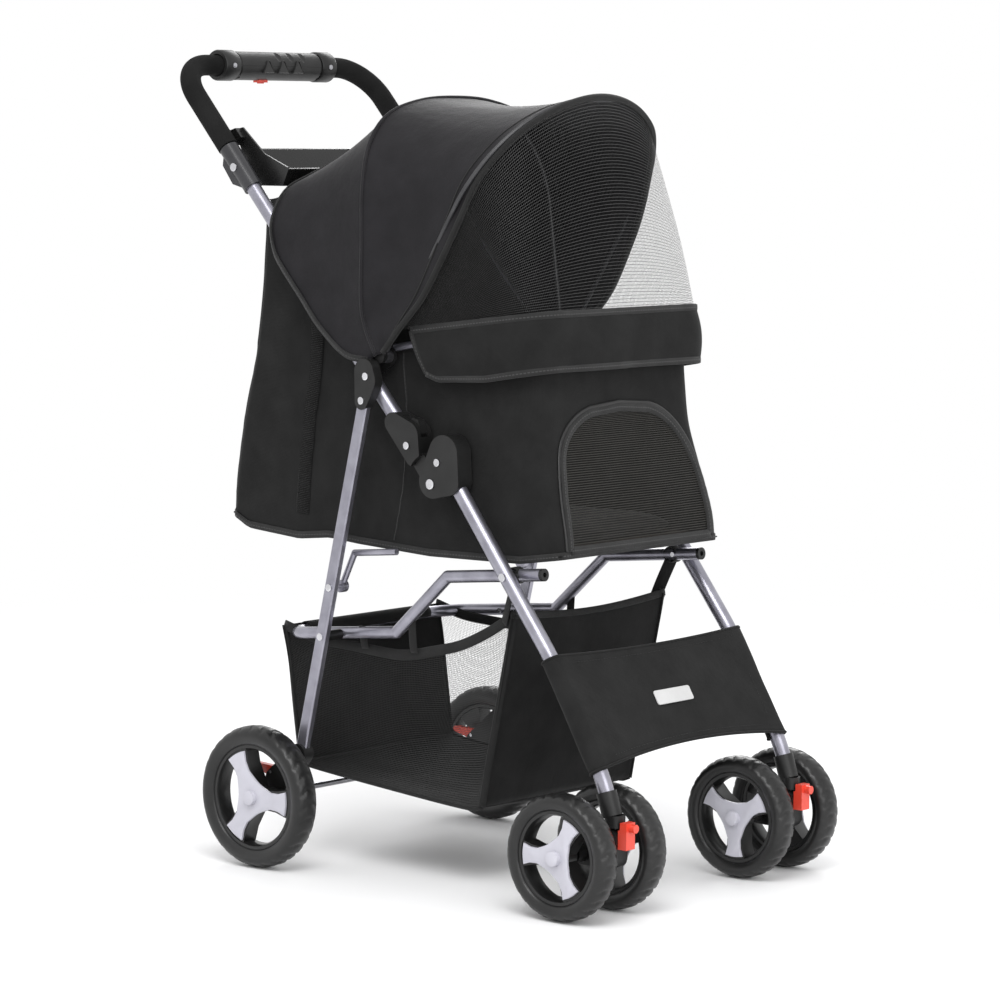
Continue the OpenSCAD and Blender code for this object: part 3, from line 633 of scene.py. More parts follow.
shell = Build().grid(wall, not_door).object("cabin_walls", mat["fabric"], "fabric", 1.6)
floor_rows = []
for x in np.linspace(-HALF, HALF, 31):
    ys = np.linspace(-249, 278, 60)
    floor_rows.append(np.column_stack([np.full(60, x), ys, bottom_z(ys) - 0.5]))
floor_grid = np.array(floor_rows)
fade = np.sin(np.linspace(0, math.pi, 31))[:, None] * np.sin(np.linspace(0, math.pi, 60))[None]
floor_grid[..., 2] -= 1.5 * fade
shell_floor = Build().grid(floor_grid).object("cabin_floor", mat["fabric"], "fabric", 1.6)
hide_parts("cabin_shell")

trim = Build()
# tape round the foot of the cabin and up the rear corners, and a seam down each side
ring = plan(0.0)
foot = np.column_stack([ring, bottom_z(ring[:, 1])])
outward = np.column_stack([ring[:, 0] / HALF, ring[:, 1] / 270, np.zeros(len(ring))])
trim.tube(foot + outward * 1.2, 9, 2.6, outward, 8)
for s in (-1, 1):
    edge = on_side(s, REAR, 50) + [s * 1.2, 1.2, 0]
    trim.tube(edge, 7, 2.2, [s, 0.8, 0], 8)
    seam = on_side(s, [(8, 408), (-2, 450), (-8, 488), (-12, 560), (-6, 636)], 40)
    trim.tube(seam + [s * 0.9, 0, 0], 2.2, 1.2, [s, 0, 0], 8)
cabin_trim = trim.object("cabin_trim", mat["tape"], "fabric")
hooks = Build()
for s in (-1, 1):
    strip = on_side(s, [(158, 431), (149, 520), (138, 610), (131, 700)], 50)
    hooks.tube(strip + [s * 1.1, 0, 0], 22, 1.4, [s, 0, 0], 8)
hook_tape = hooks.object("hook_tape", mat["hook_tape"], "fabric")

# zipped entry on the rear wall: an arch of teeth and a storm flap
ZIP_HALF, ZIP_FOOT, ZIP_RISE = 112, 470, 270
zip_rear = Build()
arch = []
for t in np.linspace(0, math.pi, 90):
    x = ZIP_HALF * np.sign(math.cos(t)) * abs(math.cos(t)) ** 0.55
    z = ZIP_FOOT + ZIP_RISE * math.sin(t) ** 0.5
    arch.append((x, z))


def rear_point(x, z, out=1.6):
    """Point out millimetres behind the rear wall."""
    v = np.clip((z - REAR_FOOT) / (REAR_TOP - REAR_FOOT), 0, 1)
    p = np.array([x, rear_y(v), z])
    return p + [0, out + wall_puff(p, v), 0]


line = even(np.array([rear_point(x, z) for x, z in arch]), 140)
zip_rear.tube(line, 5, 2.4, [0, 1, 0.1], 8)
rear_zip = zip_rear.object("rear_zip", mat["zip"], "black_plastic")
flap_tape = Build()
for off in (-9, 9):
    shifted = np.array([rear_point(x * (1 + off / 160), z + (off if z > 600 else 0), 1.2)
                        for x, z in arch])
    flap_tape.tube(even(shifted, 140), 8, 1.4, [0, 1, 0.1], 8)
rear_tape = flap_tape.object("rear_zip_tape", mat["tape"], "fabric")

# ---- Front door ----


def door_point(u, z, out):
    """Point out millimetres in front of the wall; u runs from -1 to 1 across the door."""
    x = u * door_half(z)
    p = nearest_wall(x=x, z=z)
    return np.array([x, p[1] - out, z])


door_rows = []
for z in np.linspace(414, 572.6, 34):
    door_rows.append([door_point(u, z, 2.0) for u in np.linspace(-1, 1, 44)])
door_grid = np.array(door_rows)
bulge = edge_fade(door_grid, 0.8)
door_grid[..., 1] -= 3.0 * bulge
door = Build().grid(door_grid).object("door_net", mat["door_net"], "net")
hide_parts("front_door")
outline = [(-1, z) for z in np.linspace(DOOR_FOOT, DOOR_FOOT + DOOR_HEIGHT, 40)]
outline += [(1, z) for z in np.linspace(DOOR_FOOT + DOOR_HEIGHT, DOOR_FOOT, 40)]
border = even(np.array([door_point(u, z, 2.6) for u, z in outline]), 150)
door_edge = Build().tube(border, 11, 2.4, [0, -1, 0.1], 8)
low = np.array([[x, nearest_wall(x=x, z=414)[1] - 2.6, 414]
                for x in np.linspace(-DOOR_HALF, DOOR_HALF, 40)])
door_edge.tube(low, 10, 2.4, [0, -1, 0.1], 8)
door_tape = door_edge.object("door_tape", mat["tape"], "fabric")
zip_line = border.copy()
zip_line[:, 0] *= 1.045
zip_line[:, 2] += 6 * (zip_line[:, 2] - DOOR_FOOT) / DOOR_HEIGHT
zip_line[:, 1] = [nearest_wall(x=x, z=z)[1] - 2.0 for x, _, z in zip_line]
door_zip = Build().tube(zip_line, 4.5, 2.6, [0, -1, 0.1], 8).object("door_zip", mat["zip"], "black_plastic")

# ---- Canopy ----

HOOP = [(183, -2, 636), (180, -28, 668), (177, -59, 703), (173, -89, 755), (169, -109, 795),
        (160, -128, 839), (141, -150, 876), (112, -168, 905), (60, -181, 929), (0, -185, 938)]
MIDDLE = [(185, 8, 632), (185, 24, 664), (185, 31, 697), (184, 31, 763), (180, 34, 831),
          (163, 39, 881), (125, 43, 916), (64, 45, 933), (0, 45, 937)]
BACK = [(186, 20, 626), (187, 56, 632), (187, 97, 663), (187, 130, 700), (187, 157, 730),
        (186, 173, 752), (184, 180, 786), (164, 178, 822), (124, 176, 840), (60, 177, 860), (0, 177, 868)]
nu = 120
hoop_line, middle_line, back_line = across(HOOP, nu), across(MIDDLE, nu), across(BACK, nu)


def canopy_surface():
    """The canopy's cloth, sagging between its rear edge, the middle hoop and the front hoop."""
    rows = []
    u = np.linspace(0, 1, nu)
    crown = np.sin(math.pi * u) ** 0.7
    spine = np.array([0, 0, 660.0])
    for a, b, sag, n in ((back_line, middle_line, 6.0, 26), (middle_line, hoop_line, 11.0, 34)):
        for k in range(n if b is middle_line else n + 1):
            t = k / n
            p = a * (1 - t) + b * t
            inward = spine - p
            inward[:, 1] = 0
            inward /= np.linalg.norm(inward, axis=1, keepdims=True)
            depth = sag * math.sin(math.pi * t) ** 0.9 * (0.25 + 0.75 * crown)
            rows.append(p + inward * depth[:, None])
    P = np.array(rows)
    P = P + normals(P) * (noise_at(P, 120, 3.1, (1, 0.6, 1)) * 3.0 * edge_fade(P, 0.5))[..., None]
    return P


canopy_grid = canopy_surface()
canopy = Build().grid(canopy_grid).object("canopy_cloth", mat["canopy"], "canopy_fabric", 1.4)
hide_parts("canopy_cover")


def rear_hood(n=24):
    """Cloth that joins the top of the rear wall to the rear edge of the canopy."""
    top = back_line[back_line[:, 2] > 748]
    low_x = np.clip(top[:, 0] * 0.83, -HALF + 1, HALF - 1)
    rows = []
    for t in np.linspace(0, 1, n):
        a, b, c = (1 - t) ** 2, 2 * t * (1 - t), t * t
        mid_x, mid_z = (low_x + top[:, 0]) / 2, np.minimum(top[:, 2], 820.0)
        mid = np.column_stack([mid_x, np.full(len(top), 180.0), mid_z])
        low = np.column_stack([low_x, np.full(len(top), 223.0), np.full(len(top), 812.0)])
        rows.append(low * a + mid * b + top * c)
    return np.array(rows)


hood = Build().grid(rear_hood()).object("rear_hood", mat["fabric"], "fabric", 1.2)


def outward_of(line, centre=(0, 20, 700)):
    """Unit directions from a point inside the canopy to the points of a line."""
    d = line - np.array(centre)
    return d / np.linalg.norm(d, axis=1, keepdims=True)


edges = Build()
edges.tube(back_line + outward_of(back_line) * 1.0, 9, 2.6, outward_of(back_line), 8)
canopy_edges = edges.object("canopy_rear_tape", mat["tape"], "canopy_fabric")
ribs = Build()
ribs.tube(middle_line + outward_of(middle_line) * 1.0, 4.6, 4.6, None, 10)
canopy_ribs = ribs.object("canopy_middle_piping", mat["canopy"], "canopy_fabric")
front_ribs = Build()
front_ribs.tube(hoop_line + outward_of(hoop_line) * 0.8, 7.5, 6.5, None, 10)
second = canopy_grid[-6]
front_ribs.tube(second + outward_of(second) * 0.8, 2.4, 2.0, None, 8)
front_piping = front_ribs.object("canopy_front_piping", mat["piping"], "canopy_fabric")

# ---- Net window and the cloth band on the rim ----


def band_plan(w, front, radius, rear, n):
    """Half of the band's path in plan, from its rear end to the middle of the front."""
    a = np.linspace(0, math.pi / 2, 10)
    pts = [(w, rear), (w, front + radius)]
    pts += [(w - radius + radius * math.cos(t), front + radius - radius * math.sin(t)) for t in a[1:]]
    pts += [(0, front)]
    half = even(np.array(pts, float), n)
    return np.vstack([half, half[-2::-1] * [-1, 1]])


top_path = band_plan(165, -225, 48, -30, 60)
low_path = band_plan(168, -229, 48, -56, 60)
top_z = np.interp(top_path[:, 1], [-225, -30], [687, 662])
low_z = np.interp(low_path[:, 1], [-229, -150, -75, -56], [624, 611, 607, 613])
band_top = np.column_stack([top_path, top_z])
band_low = np.column_stack([low_path, low_z])
t = np.linspace(0, 1, 16)[:, None, None]
band_grid = band_low[None] * (1 - t) + band_top[None] * t
push = np.column_stack([band_top[:, 0] / 165, band_top[:, 1] / 225, np.zeros(len(band_top))])
wave = np.array([2.2 * math.sin(i * 0.21) + 1.6 * noise.noise(Vector((i * 0.13, 0, 7)))
                 for i in range(len(push))])
band_grid = band_grid + push[None] * (wave[None, :, None] * (1 - t) + 3.5 * np.sin(math.pi * t))
band = Build().grid(band_grid).object("rim_band", mat["fabric"], "fabric", 1.6)
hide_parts("front_flap")
band_edge = Build()
band_edge.tube(band_grid[0], 9, 3.2, push, 8)
band_edge.tube(band_grid[-1] + push * 0.6, 9, 3.4, push, 8)
for col in (0, -1):
    band_edge.tube(band_grid[:, col], 7, 2.8, push[col], 8)
band_tape = band_edge.object("rim_band_tape", mat["tape"], "fabric")

net_hoop = across([(176, -22, 664), *HOOP[2:]], nu)
net_top = net_hoop - outward_of(net_hoop) * 1.5
net_plan = band_plan(164, -224, 48, -26, 60)
net_low = even(np.column_stack([net_plan, np.interp(net_plan[:, 1], [-224, -26], [687, 663])]), nu)
t = np.linspace(0, 1, 40)[:, None, None]
net_grid = net_low[None] * (1 - t) + net_top[None] * t
net_out = net_grid.mean(0) - np.array([0, -40, 720.0])
net_out /= np.linalg.norm(net_out, axis=1, keepdims=True)
belly = np.sin(math.pi * np.linspace(0, 1, nu)) ** 0.5
net_grid = net_grid + net_out[None] * (7 * np.sin(math.pi * t) * belly[None, :, None])
net = Build().grid(net_grid).object("window_net", mat["net"], "net")
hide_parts("mesh_window")
net_edge = Build()
net_edge.tube(net_grid[0] + [0, 0, 2], 5, 4, None, 8)
net_piping = net_edge.object("window_piping", mat["piping"], "fabric")

# ---- Cloth between the front legs ----

leg_top, leg_low = np.array([-254.5, 291.0]), np.array([-327.0, 169.5])
LEG_X = 171
down = (leg_low - leg_top) / np.linalg.norm(leg_low - leg_top)
front_n = np.array([down[1], -down[0]])
if front_n[0] > 0:
    front_n = -front_n


def apron_row(t):
    """One line of the apron, wrapped round both legs; t runs from its top edge to its hem."""
    c = leg_top + (leg_low - leg_top) * t
    r = 11.6
    pts = []
    for a in np.linspace(-165, 90, 22):
        x, n = LEG_X + r * math.cos(math.radians(a)), r * math.sin(math.radians(a))
        pts.append((x, c[0] + front_n[0] * n, c[1] + front_n[1] * n))
    half = np.array(pts)
    for x in np.linspace(LEG_X, 0, 30)[1:]:
        k = 1 - (x / LEG_X) ** 2
        lift = k * (13 * max(0, (t - 0.55) / 0.45) - 5 * max(0, (0.4 - t) / 0.4))
        sink = -3.0 * k * math.sin(math.pi * t)
        p = c - down * lift + front_n * (r + sink)
        half = np.vstack([half, (x, p[0], p[1])])
    return np.vstack([half, half[-2::-1] * [-1, 1, 1]])


apron_grid = np.array([apron_row(t) for t in np.linspace(0, 1, 30)])
crease = noise_at(apron_grid, 55, 5.0, (0.5, 1, 1)) * 2.2 + noise_at(apron_grid, 22, 6.0) * 0.5
apron_grid += normals(apron_grid) * (crease * edge_fade(apron_grid, 0.5))[..., None]
apron = Build().grid(apron_grid).object("front_apron", mat["front_cloth"], "fabric", 1.5)
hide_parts("valance")
out3 = np.array([0, front_n[0], front_n[1]])
hem = Build()
hem.tube(apron_grid[0], 3.4, 3.0, None, 8)
hem.tube(apron_grid[-1], 3.4, 3.0, None, 8)
apron_hem = hem.object("front_apron_hem", mat["front_cloth"], "fabric")
stitches = Build()
for row in (2, -3):
    line = even(apron_grid[row][24:-24] + out3 * 0.9, 120)
    for k in range(0, 118, 2):
        stitches.tube([line[k], (line[k] + line[k + 1]) / 2, line[k + 1]], 0.8, 0.6, None, 6)
for s in (-1, 1):
    c0, c1 = (leg_top + 0.02 * (leg_low - leg_top)), (leg_top + 0.98 * (leg_low - leg_top))
    a = np.array([s * 156, *(c0 + front_n * 11.2)])
    b = np.array([s * 156, *(c1 + front_n * 11.2)])
    for k in np.linspace(0, 0.985, 34):
        p = a + (b - a) * k
        stitches.tube([p, p + (b - a) * 0.008, p + (b - a) * 0.016], 0.8, 0.6, None, 6)
apron_stitch = stitches.object("front_apron_stitches", mat["tape"], "fabric")
mid = (leg_top + leg_low) / 2 + front_n * 10.4


def label_place(x, y, z):
    """Places the label's outline on the apron: y runs up it and z off it."""
    p = mid - down * y + front_n * (z + 0.2)
    return (x, p[0], p[1])


corner = np.linspace(0, math.pi / 2, 6)
rect = []
for cx, cy, a0 in ((31, 6, 0), (-31, 6, 90), (-31, -6, 180), (31, -6, 270)):
    angles = math.radians(a0) + corner
    rect += [(cx + 3 * math.cos(a), cy + 3 * math.sin(a)) for a in angles]
label = Build().prism(rect, 1.4, label_place, 0.4).object(
    "front_label", mat["label"], "fabric", smooth=False)

# ---- Basket ----

B_BOTTOM = spline([(172, 121), (150, 116), (20, 104), (-100, 95), (-124, 99)], 60)
B_TOP = spline([(198, 288), (150, 277), (89, 273), (7, 269), (-49, 279), (-94, 291), (-140, 313),
                (-172, 334)], 60)
B_REAR = spline([(172, 121), (182, 190), (190, 250), (198, 288)], 30)
B_FRONT = spline([(-124, 99), (-134, 150), (-150, 225), (-164, 290), (-172, 334)], 30)


def with_x(curve, x):
    """A curve in the side view, placed x millimetres from the middle."""
    return np.column_stack([np.full(len(curve), float(x)), curve])


side_grid = coons(with_x(B_BOTTOM, 139), with_x(B_TOP, 146), with_x(B_REAR, 142), with_x(B_FRONT, 141))
sag = edge_fade(side_grid, 0.8)
side_grid[..., 0] -= 5 * sag
side_grid = side_grid + (noise_at(side_grid, 70, 9.0) * 3.0 * sag)[..., None] * np.array([1.0, 0, 0])
nets = Build().grid(side_grid).grid(flipped(side_grid)).object("basket_sides", mat["basket_net"], "fabric")
body = Build()
BELT_POINTS = 44


def belt(curve_left, sag_out, seed):
    """Panel across the basket between its two side edges."""
    u = np.linspace(0, 1, BELT_POINTS)[:, None, None]
    left = curve_left[None]
    right = (curve_left * [-1, 1, 1])[None]
    P = left * (1 - u) + right * u
    k = np.sin(math.pi * u) * np.sin(math.pi * np.linspace(0, 1, len(curve_left)))[None, :, None] ** 0.6
    P = P + k * np.array(sag_out, float)
    return P + (noise_at(P, 60, seed) * 3.2)[..., None] * normals(P) * k


front_edge = np.column_stack([np.interp(np.linspace(0, 1, 30), [0, 1], [139, 146]), B_FRONT])
rear_edge = np.column_stack([np.interp(np.linspace(0, 1, 30), [0, 1], [139, 146]), B_REAR])
front_panel = belt(front_edge, (0, -10, 0), 11.0)
top_sag = np.sin(math.pi * np.linspace(0, 1, BELT_POINTS))[:, None] * np.linspace(0, 1, 30)[None] ** 3
front_panel[..., 2] -= 9 * top_sag
body.grid(front_panel)
rear_panel = belt(rear_edge, (0, 5, 0), 12.0)
body.grid(rear_panel)
body.grid(belt(with_x(B_BOTTOM, 139), (0, 0, -11), 13.0))
# the rear panel loops over the bow of the rail
loop = []
for a in np.linspace(-60, 200, 14):
    loop.append((190.9 + 10.2 * math.cos(math.radians(a)), 279.3 + 10.2 * math.sin(math.radians(a))))
loop_rows = [np.column_stack([np.full(14, x), np.array(loop)]) for x in np.linspace(-112, 112, 30)]
body.grid(np.array(loop_rows))
basket = body.object("basket_cloth", mat["fabric"], "fabric", 1.5)
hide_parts("basket")
basket_edges = Build()
for s in (-1, 1):
    m = np.array([s, 1, 1])
    basket_edges.tube(side_grid[-1] * m, 13, 2.4, [s, 0, 0.1], 8)
    basket_edges.tube(side_grid[0] * m, 6, 2.2, [s, 0, -0.5], 8)
    basket_edges.tube(side_grid[:, -1] * m, 9, 2.4, [s, -0.4, 0], 8)
    basket_edges.tube(side_grid[:, 0] * m, 7, 2.4, [s, 0.5, 0], 8)
basket_edges.tube(front_panel[:, -1], 9, 2.4, [0, -1, 0.1], 8)
basket_tape = basket_edges.object("basket_tape", mat["piping"], "fabric")
straps = Build()
for s in (-1, 1):
    up = spline([(s * 143, -158, 322), (s * 146, -168, 348), (s * 150, -180, 377)], 16)
    straps.tube(up, 15, 1.6, [s, 0.4, 0.2], 8)
    # a loop at the front pivot of the rail
    outward = np.array([(0, math.cos(a), math.sin(a)) for a in np.linspace(0, 2 * math.pi, 28)])
    straps.tube(outward * 9.6 + [s * 150, -182, 381.5], 15, 1.6, outward, 8, False)
    for y in (60, -20):
        z = np.interp(y, [-49, 7, 89], [279, 269, 273])
        tie = [(s * 145, y, z), (s * 148, y, z + 10), (s * 151, y, 300 if y > 0 else 318)]
        straps.tube(spline(tie, 10), 12, 1.5, [s, 0, 0], 8)
basket_straps = straps.object("basket_straps", mat["webbing"], "fabric")

# ---- Wheels ----


BORE_SHARE = 0.74
TREAD_BLOCKS = 30
TREAD_DEPTH = 1.7


def tyre(node):
    """Tyre of a CAD node with a moulded tread. Returns its centre, radius and width."""
    lo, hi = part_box(node)
    c = (lo + hi) / 2 * 1000
    r, w = (hi.z - lo.z) * 500, (hi.x - lo.x) * 1000
    ri, e = r * BORE_SHARE, -w / 2
    profile = [(ri, e + 5), (ri + 2, e + 2), (r * 0.84, e), (r - 9, e), (r - 5.5, e + 1.6),
               (r - 3.2, e + 4), (r - 1.6, e + 7), (r - 0.6, e + 10.5), (r, -5), (r, 0)]
    profile += [(a, -b) for a, b in profile[-2::-1]]
    count = len(profile)

    def bumps(a, k):
        if k in (5, 6, 7, 8, count - 6, count - 7, count - 8, count - 9):
            phase = a * TREAD_BLOCKS + 0.9 * (k - 6 if k < 10 else count - 7 - k)
            return -TREAD_DEPTH * max(0.0, math.sin(phase)) ** 3
        return 0.0

    ring = Build().turned(profile, c, (1, 0, 0), TREAD_BLOCKS * 8, bumps)
    obj = ring.object(node.replace("tyre", "tread"), mat["tyre"], "tyre")
    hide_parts(node)
    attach(obj, nodes[node]["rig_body"])
    return c, r, w


def wheel(node_tyre, node_spider, spin, outer):
    """Black wheel with three arms, and a pale cover plate on its outer face."""
    c, r, w = tyre(node_tyre)
    ri = r * BORE_SHARE
    starts = [spin + k * 2 * math.pi / 3 for k in range(3)]

    def raised(out):
        """Places a flat outline on the wheel, out millimetres from its middle plane."""
        return lambda x, y, z: (c[0] + outer * (z + out), c[1] + x, c[2] + y)

    hub = Build()
    hub.turned([(ri - 0.2, -w / 2 + 5), (ri - 0.2, w / 2 - 5), (ri - 4, w / 2 - 5), (ri - 6, w / 2 - 9),
                (ri - 6, -w / 2 + 9), (ri - 4, -w / 2 + 5)], c, (1, 0, 0), 96)
    hub.turned([(4.2, -w / 2 + 5), (12, -w / 2 + 5), (13.5, -w / 2 + 6), (13.5, w / 2 - 6), (12, w / 2 - 5),
                (4.2, w / 2 - 5)], c, (1, 0, 0), 48)
    arm_outline = [(6, -r * 0.125), (r * 0.45, -r * 0.135), (ri - 5, -r * 0.2),
                   (ri - 5, r * 0.2), (r * 0.45, r * 0.135), (6, r * 0.125)]
    for start in starts:
        arm = turned_about(arm_outline, start)
        hub.prism(arm[::-1] if outer < 0 else arm, w - 12, raised(-(w - 12) / 2), 1.2)
    rim = hub.object(node_spider.replace("spider", "wheel"), mat["wheel"], "black_plastic", angle=35)
    tip = [((ri - 7) * math.cos(v * 0.26), (ri - 7) * math.sin(v * 0.26)) for v in np.linspace(-1, 1, 7)]
    left = [(r * 0.5, r * 0.125), (r * 0.36, r * 0.12)]
    right = [(r * 0.36, -r * 0.12), (r * 0.5, -r * 0.125)]
    star = []
    for start in starts:
        star += turned_about(right + tip + left, start)
        # the notch between this arm and the next
        middle = start + math.pi / 3
        for d in (-0.32, 0.0, 0.32):
            rr = r * (0.25 if d == 0 else 0.27)
            star.append((rr * math.cos(middle + d), rr * math.sin(middle + d)))
    cover = Build().prism(star, 3.0, raised(w / 2 - 6.1), 1.0)
    plate = cover.object(node_spider.replace("spider", "cover"), mat["trim"], "trim", angle=30)
    cap = Build().prism(circle(9, 32), 6.4, raised(w / 2 - 3.2), 1.8)
    nave = cap.object(node_spider.replace("spider", "nave"), mat["trim"], "trim", angle=30)
    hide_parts(node_spider)
    for o in (rim, plate, nave):
        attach(o, nodes[node_spider]["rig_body"])


for s, word in ((1, "left"), (-1, "right")):
    wheel(f"rear_tyre_{word}", f"rear_spider_{word}", math.radians(62), s)
    wheel(f"front_tyre_{word}_outer", f"front_spider_{word}_outer", math.radians(0), s)
    wheel(f"front_tyre_{word}_inner", f"front_spider_{word}_inner", math.radians(30), -s)

# ---- Cushion ----

PAD_VOXEL = 0.006
PAD_SWELL = 0.006
PAD_FRAMES = 20


def cushion():
    """Soft pad on the cabin's floor, swollen a little by a cloth simulation."""
    lo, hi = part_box("cabin_cushion")
    c, size = (lo + hi) / 2, (hi - lo)
    a = np.linspace(0, 2 * math.pi, 160, endpoint=False)
    rows = []
    for k in np.linspace(0, math.pi, 18):
        h = -math.cos(k) * size.z * 0.36
        s = math.sin(k) ** 0.35 if 0 < k < math.pi else 0.0
        ex = np.sign(np.cos(a)) * np.abs(np.cos(a)) ** 0.28 * size.x * 0.49 * (0.93 + 0.07 * s)
        ey = np.sign(np.sin(a)) * np.abs(np.sin(a)) ** 0.28 * size.y * 0.49 * (0.93 + 0.07 * s)
        s = max(s, 0.01)
        rows.append(np.column_stack([c.x + ex * s, c.y + ey * s, np.full(len(a), c.z + h)]))
    P = np.array(rows) * 1000
    P = np.concatenate([P, P[:, :1]], 1)
    pad = Build().grid(P).object("cushion_pad", mat["plush"], "fabric")
    remesh = pad.modifiers.new("remesh", "REMESH")
    remesh.mode, remesh.voxel_size = "VOXEL", PAD_VOXEL
    dg = bpy.context.evaluated_depsgraph_get()
    mesh = bpy.data.meshes.new_from_object(pad.evaluated_get(dg))
    pad.modifiers.clear()
    pad.data = mesh
    before = np.array([v.co for v in mesh.vertices])
    m = pad.modifiers.new("cloth", "CLOTH")
    m.settings.use_pressure, m.settings.uniform_pressure_force = True, 4.0
    m.settings.effector_weights.gravity = 0
    m.settings.quality = 5
    scene = bpy.context.scene
    for moment in range(1, PAD_FRAMES + 1):
        scene.frame_set(moment)
    dg = bpy.context.evaluated_depsgraph_get()
    swollen = bpy.data.meshes.new_from_object(pad.evaluated_get(dg))
    after = np.array([v.co for v in swollen.vertices])
    move = after - before
    far = np.linalg.norm(move, axis=1, keepdims=True)
    after = before + move * np.minimum(1, PAD_SWELL / np.maximum(far, 1e-9))
    after[:, 2] = np.maximum(after[:, 2], lo.z)
    swollen.vertices.foreach_set("co", after.ravel())
    pad.modifiers.clear()
    pad.data = swollen
    scene.frame_set(1)
    pad.data.polygons.foreach_set("use_smooth", [True] * len(pad.data.polygons))
    pad.data.materials.clear()
    pad.data.materials.append(mat["plush"])
    sub = pad.modifiers.new("smooth", "SUBSURF")
    sub.levels = sub.render_levels = 1
    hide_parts("cabin_cushion")
    return pad


pad = cushion()

# ---- Console ----

CONSOLE_END = 88
CONSOLE_Z = 977
collars = Build()
for s in (-1, 1):
    collars.turned([(14.2, -13), (18.2, -13), (19.4, -11), (19.4, 11), (18.2, 13), (14.2, 13)],
                   (s * CONSOLE_END, 355, CONSOLE_Z), (1, 0, 0), 64)
console_collars = collars.object("console_collars", mat["black_plastic"], "black_plastic", angle=35)
scallops = Build()
for x0 in (-27, 0, 27):
    scallop = [(-9.5, -7), (9.5, -7), (0.8, 9), (-0.8, 9)]
    scallops.prism(scallop, 4.2, lambda x, y, z, x0=x0: (x0 + x, 338.2 - z, 975 + y), 2.0)
console_scallops = scallops.object("console_scallops", mat["tray_plastic"], "black_plastic", angle=30)
studs = Build()
for s in (-1, 1):
    studs.prism(circle(3.2, 24), 2.2,
                lambda x, y, z, s=s: (s * CONSOLE_END + x, 336.4 - z, CONSOLE_Z + y), 0.8)
console_studs = studs.object("console_studs", mat["steel"], "bright", angle=30)

# ---- What rides on what ----

for o in (shell, shell_floor, cabin_trim, hook_tape, rear_zip, rear_tape, door_zip, band, band_tape,
          net_piping, pad, canopy_edges, hood, console_collars, console_scallops, console_studs):
    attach(o, "handle_frame")
for o in (door, door_tape):
    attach(o, "cabin_door")
# the cabin crumples up towards its rim as the frame folds, and the basket towards its rail; here these
# pieces are only given meshes of their own
for o in (shell, shell_floor, cabin_trim, hook_tape, rear_zip, rear_tape, door_zip, pad, door, door_tape,
          nodes["cabin_board"]):
    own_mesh(o)
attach(canopy_ribs, "canopy_middle")
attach(front_piping, "canopy_front")
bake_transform(canopy)
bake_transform(net)
for o in (apron, apron_hem, apron_stitch, label):
    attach(o, "chassis")
for o in (nets, basket, basket_tape, basket_straps):
    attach(o, "rail_frame")
    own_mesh(o)

# ---- Stage, lights and camera ----

stage = Build()
FLOOR_REACH = 60000
FLOOR_Z = -0.6
# the floor fades to the white of the background between these distances, in metres
FADE_START, FADE_END = 0.9, 2.6
span = np.concatenate([-np.geomspace(FLOOR_REACH, 500, 14), np.geomspace(500, FLOOR_REACH, 14)])
stage.grid(np.array([[(x, y, FLOOR_Z) for x in span] for y in span]))
pale = Nodes("studio_floor", Roughness=0.95, Specular_IOR_Level=0.0)
pale.color(pale.noise(1.5, 2), (0.88, 0.88, 0.885), (0.91, 0.91, 0.915))
far = pale.new("ShaderNodeMapRange", interpolation_type="SMOOTHSTEP")
far.inputs["From Min"].default_value = FADE_START
far.inputs["From Max"].default_value = FADE_END
reach = pale.new("ShaderNodeVectorMath", operation="LENGTH")
pale.link(pale.place.outputs["Object"], reach.inputs[0])
pale.link(reach.outputs["Value"], far.inputs["Value"])
glow = pale.new("ShaderNodeEmission", Color=(1, 1, 1, 1), Strength=1.0)
mix = pale.new("ShaderNodeMixShader")
pale.link(far.outputs[0], mix.inputs[0])
pale.link(pale.b.outputs[0], mix.inputs[1])
pale.link(glow.outputs[0], mix.inputs[2])
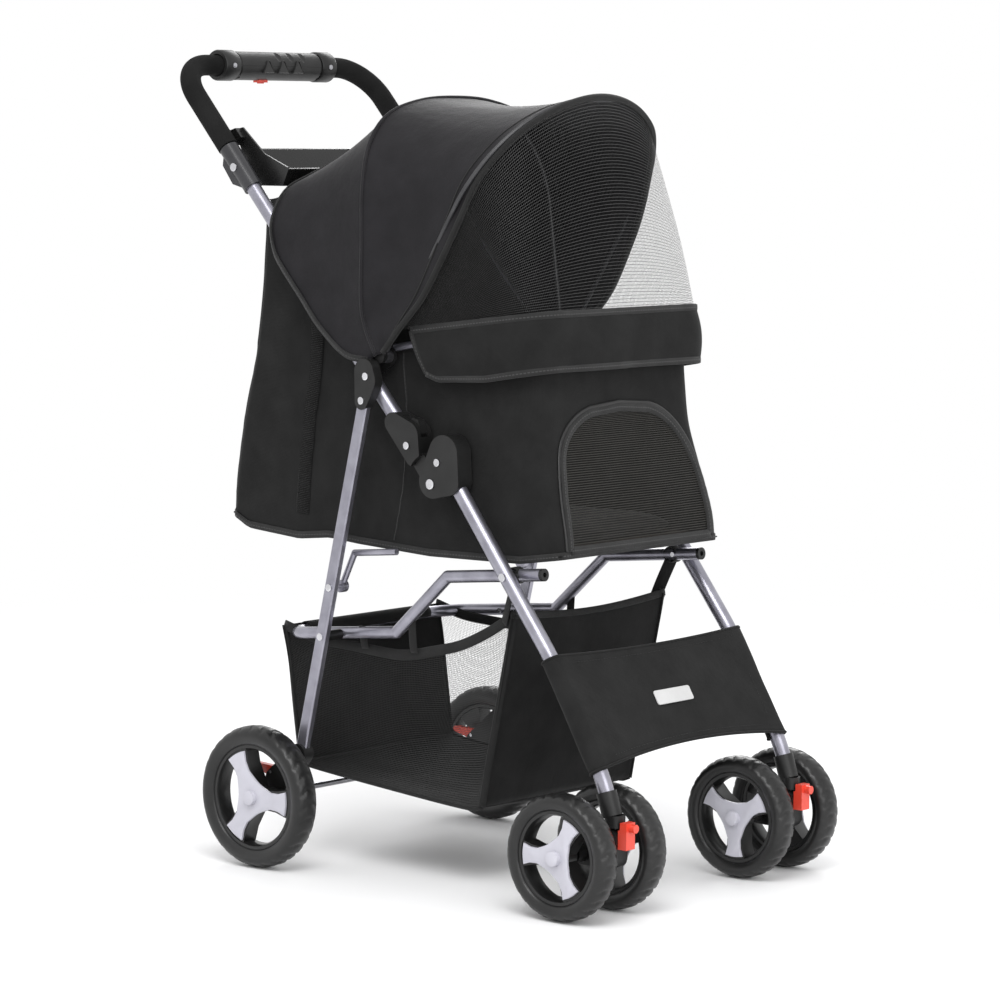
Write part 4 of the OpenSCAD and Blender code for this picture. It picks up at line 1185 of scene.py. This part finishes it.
pale.link(mix.outputs[0], pale.out.inputs["Surface"])
floor = stage.object("studio_floor", pale.m)
floor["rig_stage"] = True

world = bpy.data.worlds.new("studio")
bpy.context.scene.world = world
world.use_nodes = True
world.node_tree.nodes["Background"].inputs[0].default_value = (1.0, 1.0, 1.0, 1)
world.node_tree.nodes["Background"].inputs[1].default_value = 1.0


def lamp(name, place, aim, power, size):
    """Area light at a place, turned to aim, with its power in watts and size in metres."""
    data = bpy.data.lights.new(name, "AREA")
    data.energy, data.shape, data.size, data.size_y = power, "RECTANGLE", size[0], size[1]
    obj = bpy.data.objects.new(name, data)
    bpy.context.scene.collection.objects.link(obj)
    obj.location = place
    obj.rotation_mode = "QUATERNION"
    obj.rotation_quaternion = (Vector(aim) - Vector(place)).to_track_quat("-Z", "Y")


lamp("key", (-1.6, -1.2, 2.6), (0, 0, 0.5), 46, (1.6, 1.6))
lamp("fill", (-1.2, -3.2, 1.3), (0, 0, 0.5), 26, (2.2, 1.6))
lamp("rim", (2.4, 1.4, 1.8), (0, 0, 0.6), 30, (1.2, 1.8))

# a camera fitted to the product picture: place in metres, roll in degrees
LENS = 135.67
CAMERA_PLACE = (-3.494, -2.996, 0.911)
CAMERA_AHEAD = (0.7585, 0.6440, -0.1004)
CAMERA_LEVEL = (0.6472, -0.7623, 0.0)
CAMERA_ROLL = 0.338
camera = bpy.data.cameras.new("view")
camera.lens, camera.sensor_width = LENS, 36.0
camera.clip_end = 60
view = bpy.data.objects.new("view", camera)
bpy.context.scene.collection.objects.link(view)
ahead = Vector(CAMERA_AHEAD).normalized()
level = Vector(CAMERA_LEVEL).normalized()
above = level.cross(ahead)
roll = math.radians(CAMERA_ROLL)
right = math.cos(roll) * level + math.sin(roll) * above
top = -math.sin(roll) * level + math.cos(roll) * above
view.matrix_world = Matrix.Translation(CAMERA_PLACE) @ Matrix(
    (right, top, -ahead)).transposed().to_4x4()
bpy.context.scene.camera = view
bpy.context.scene.view_settings.view_transform = "Standard"

low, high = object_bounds()
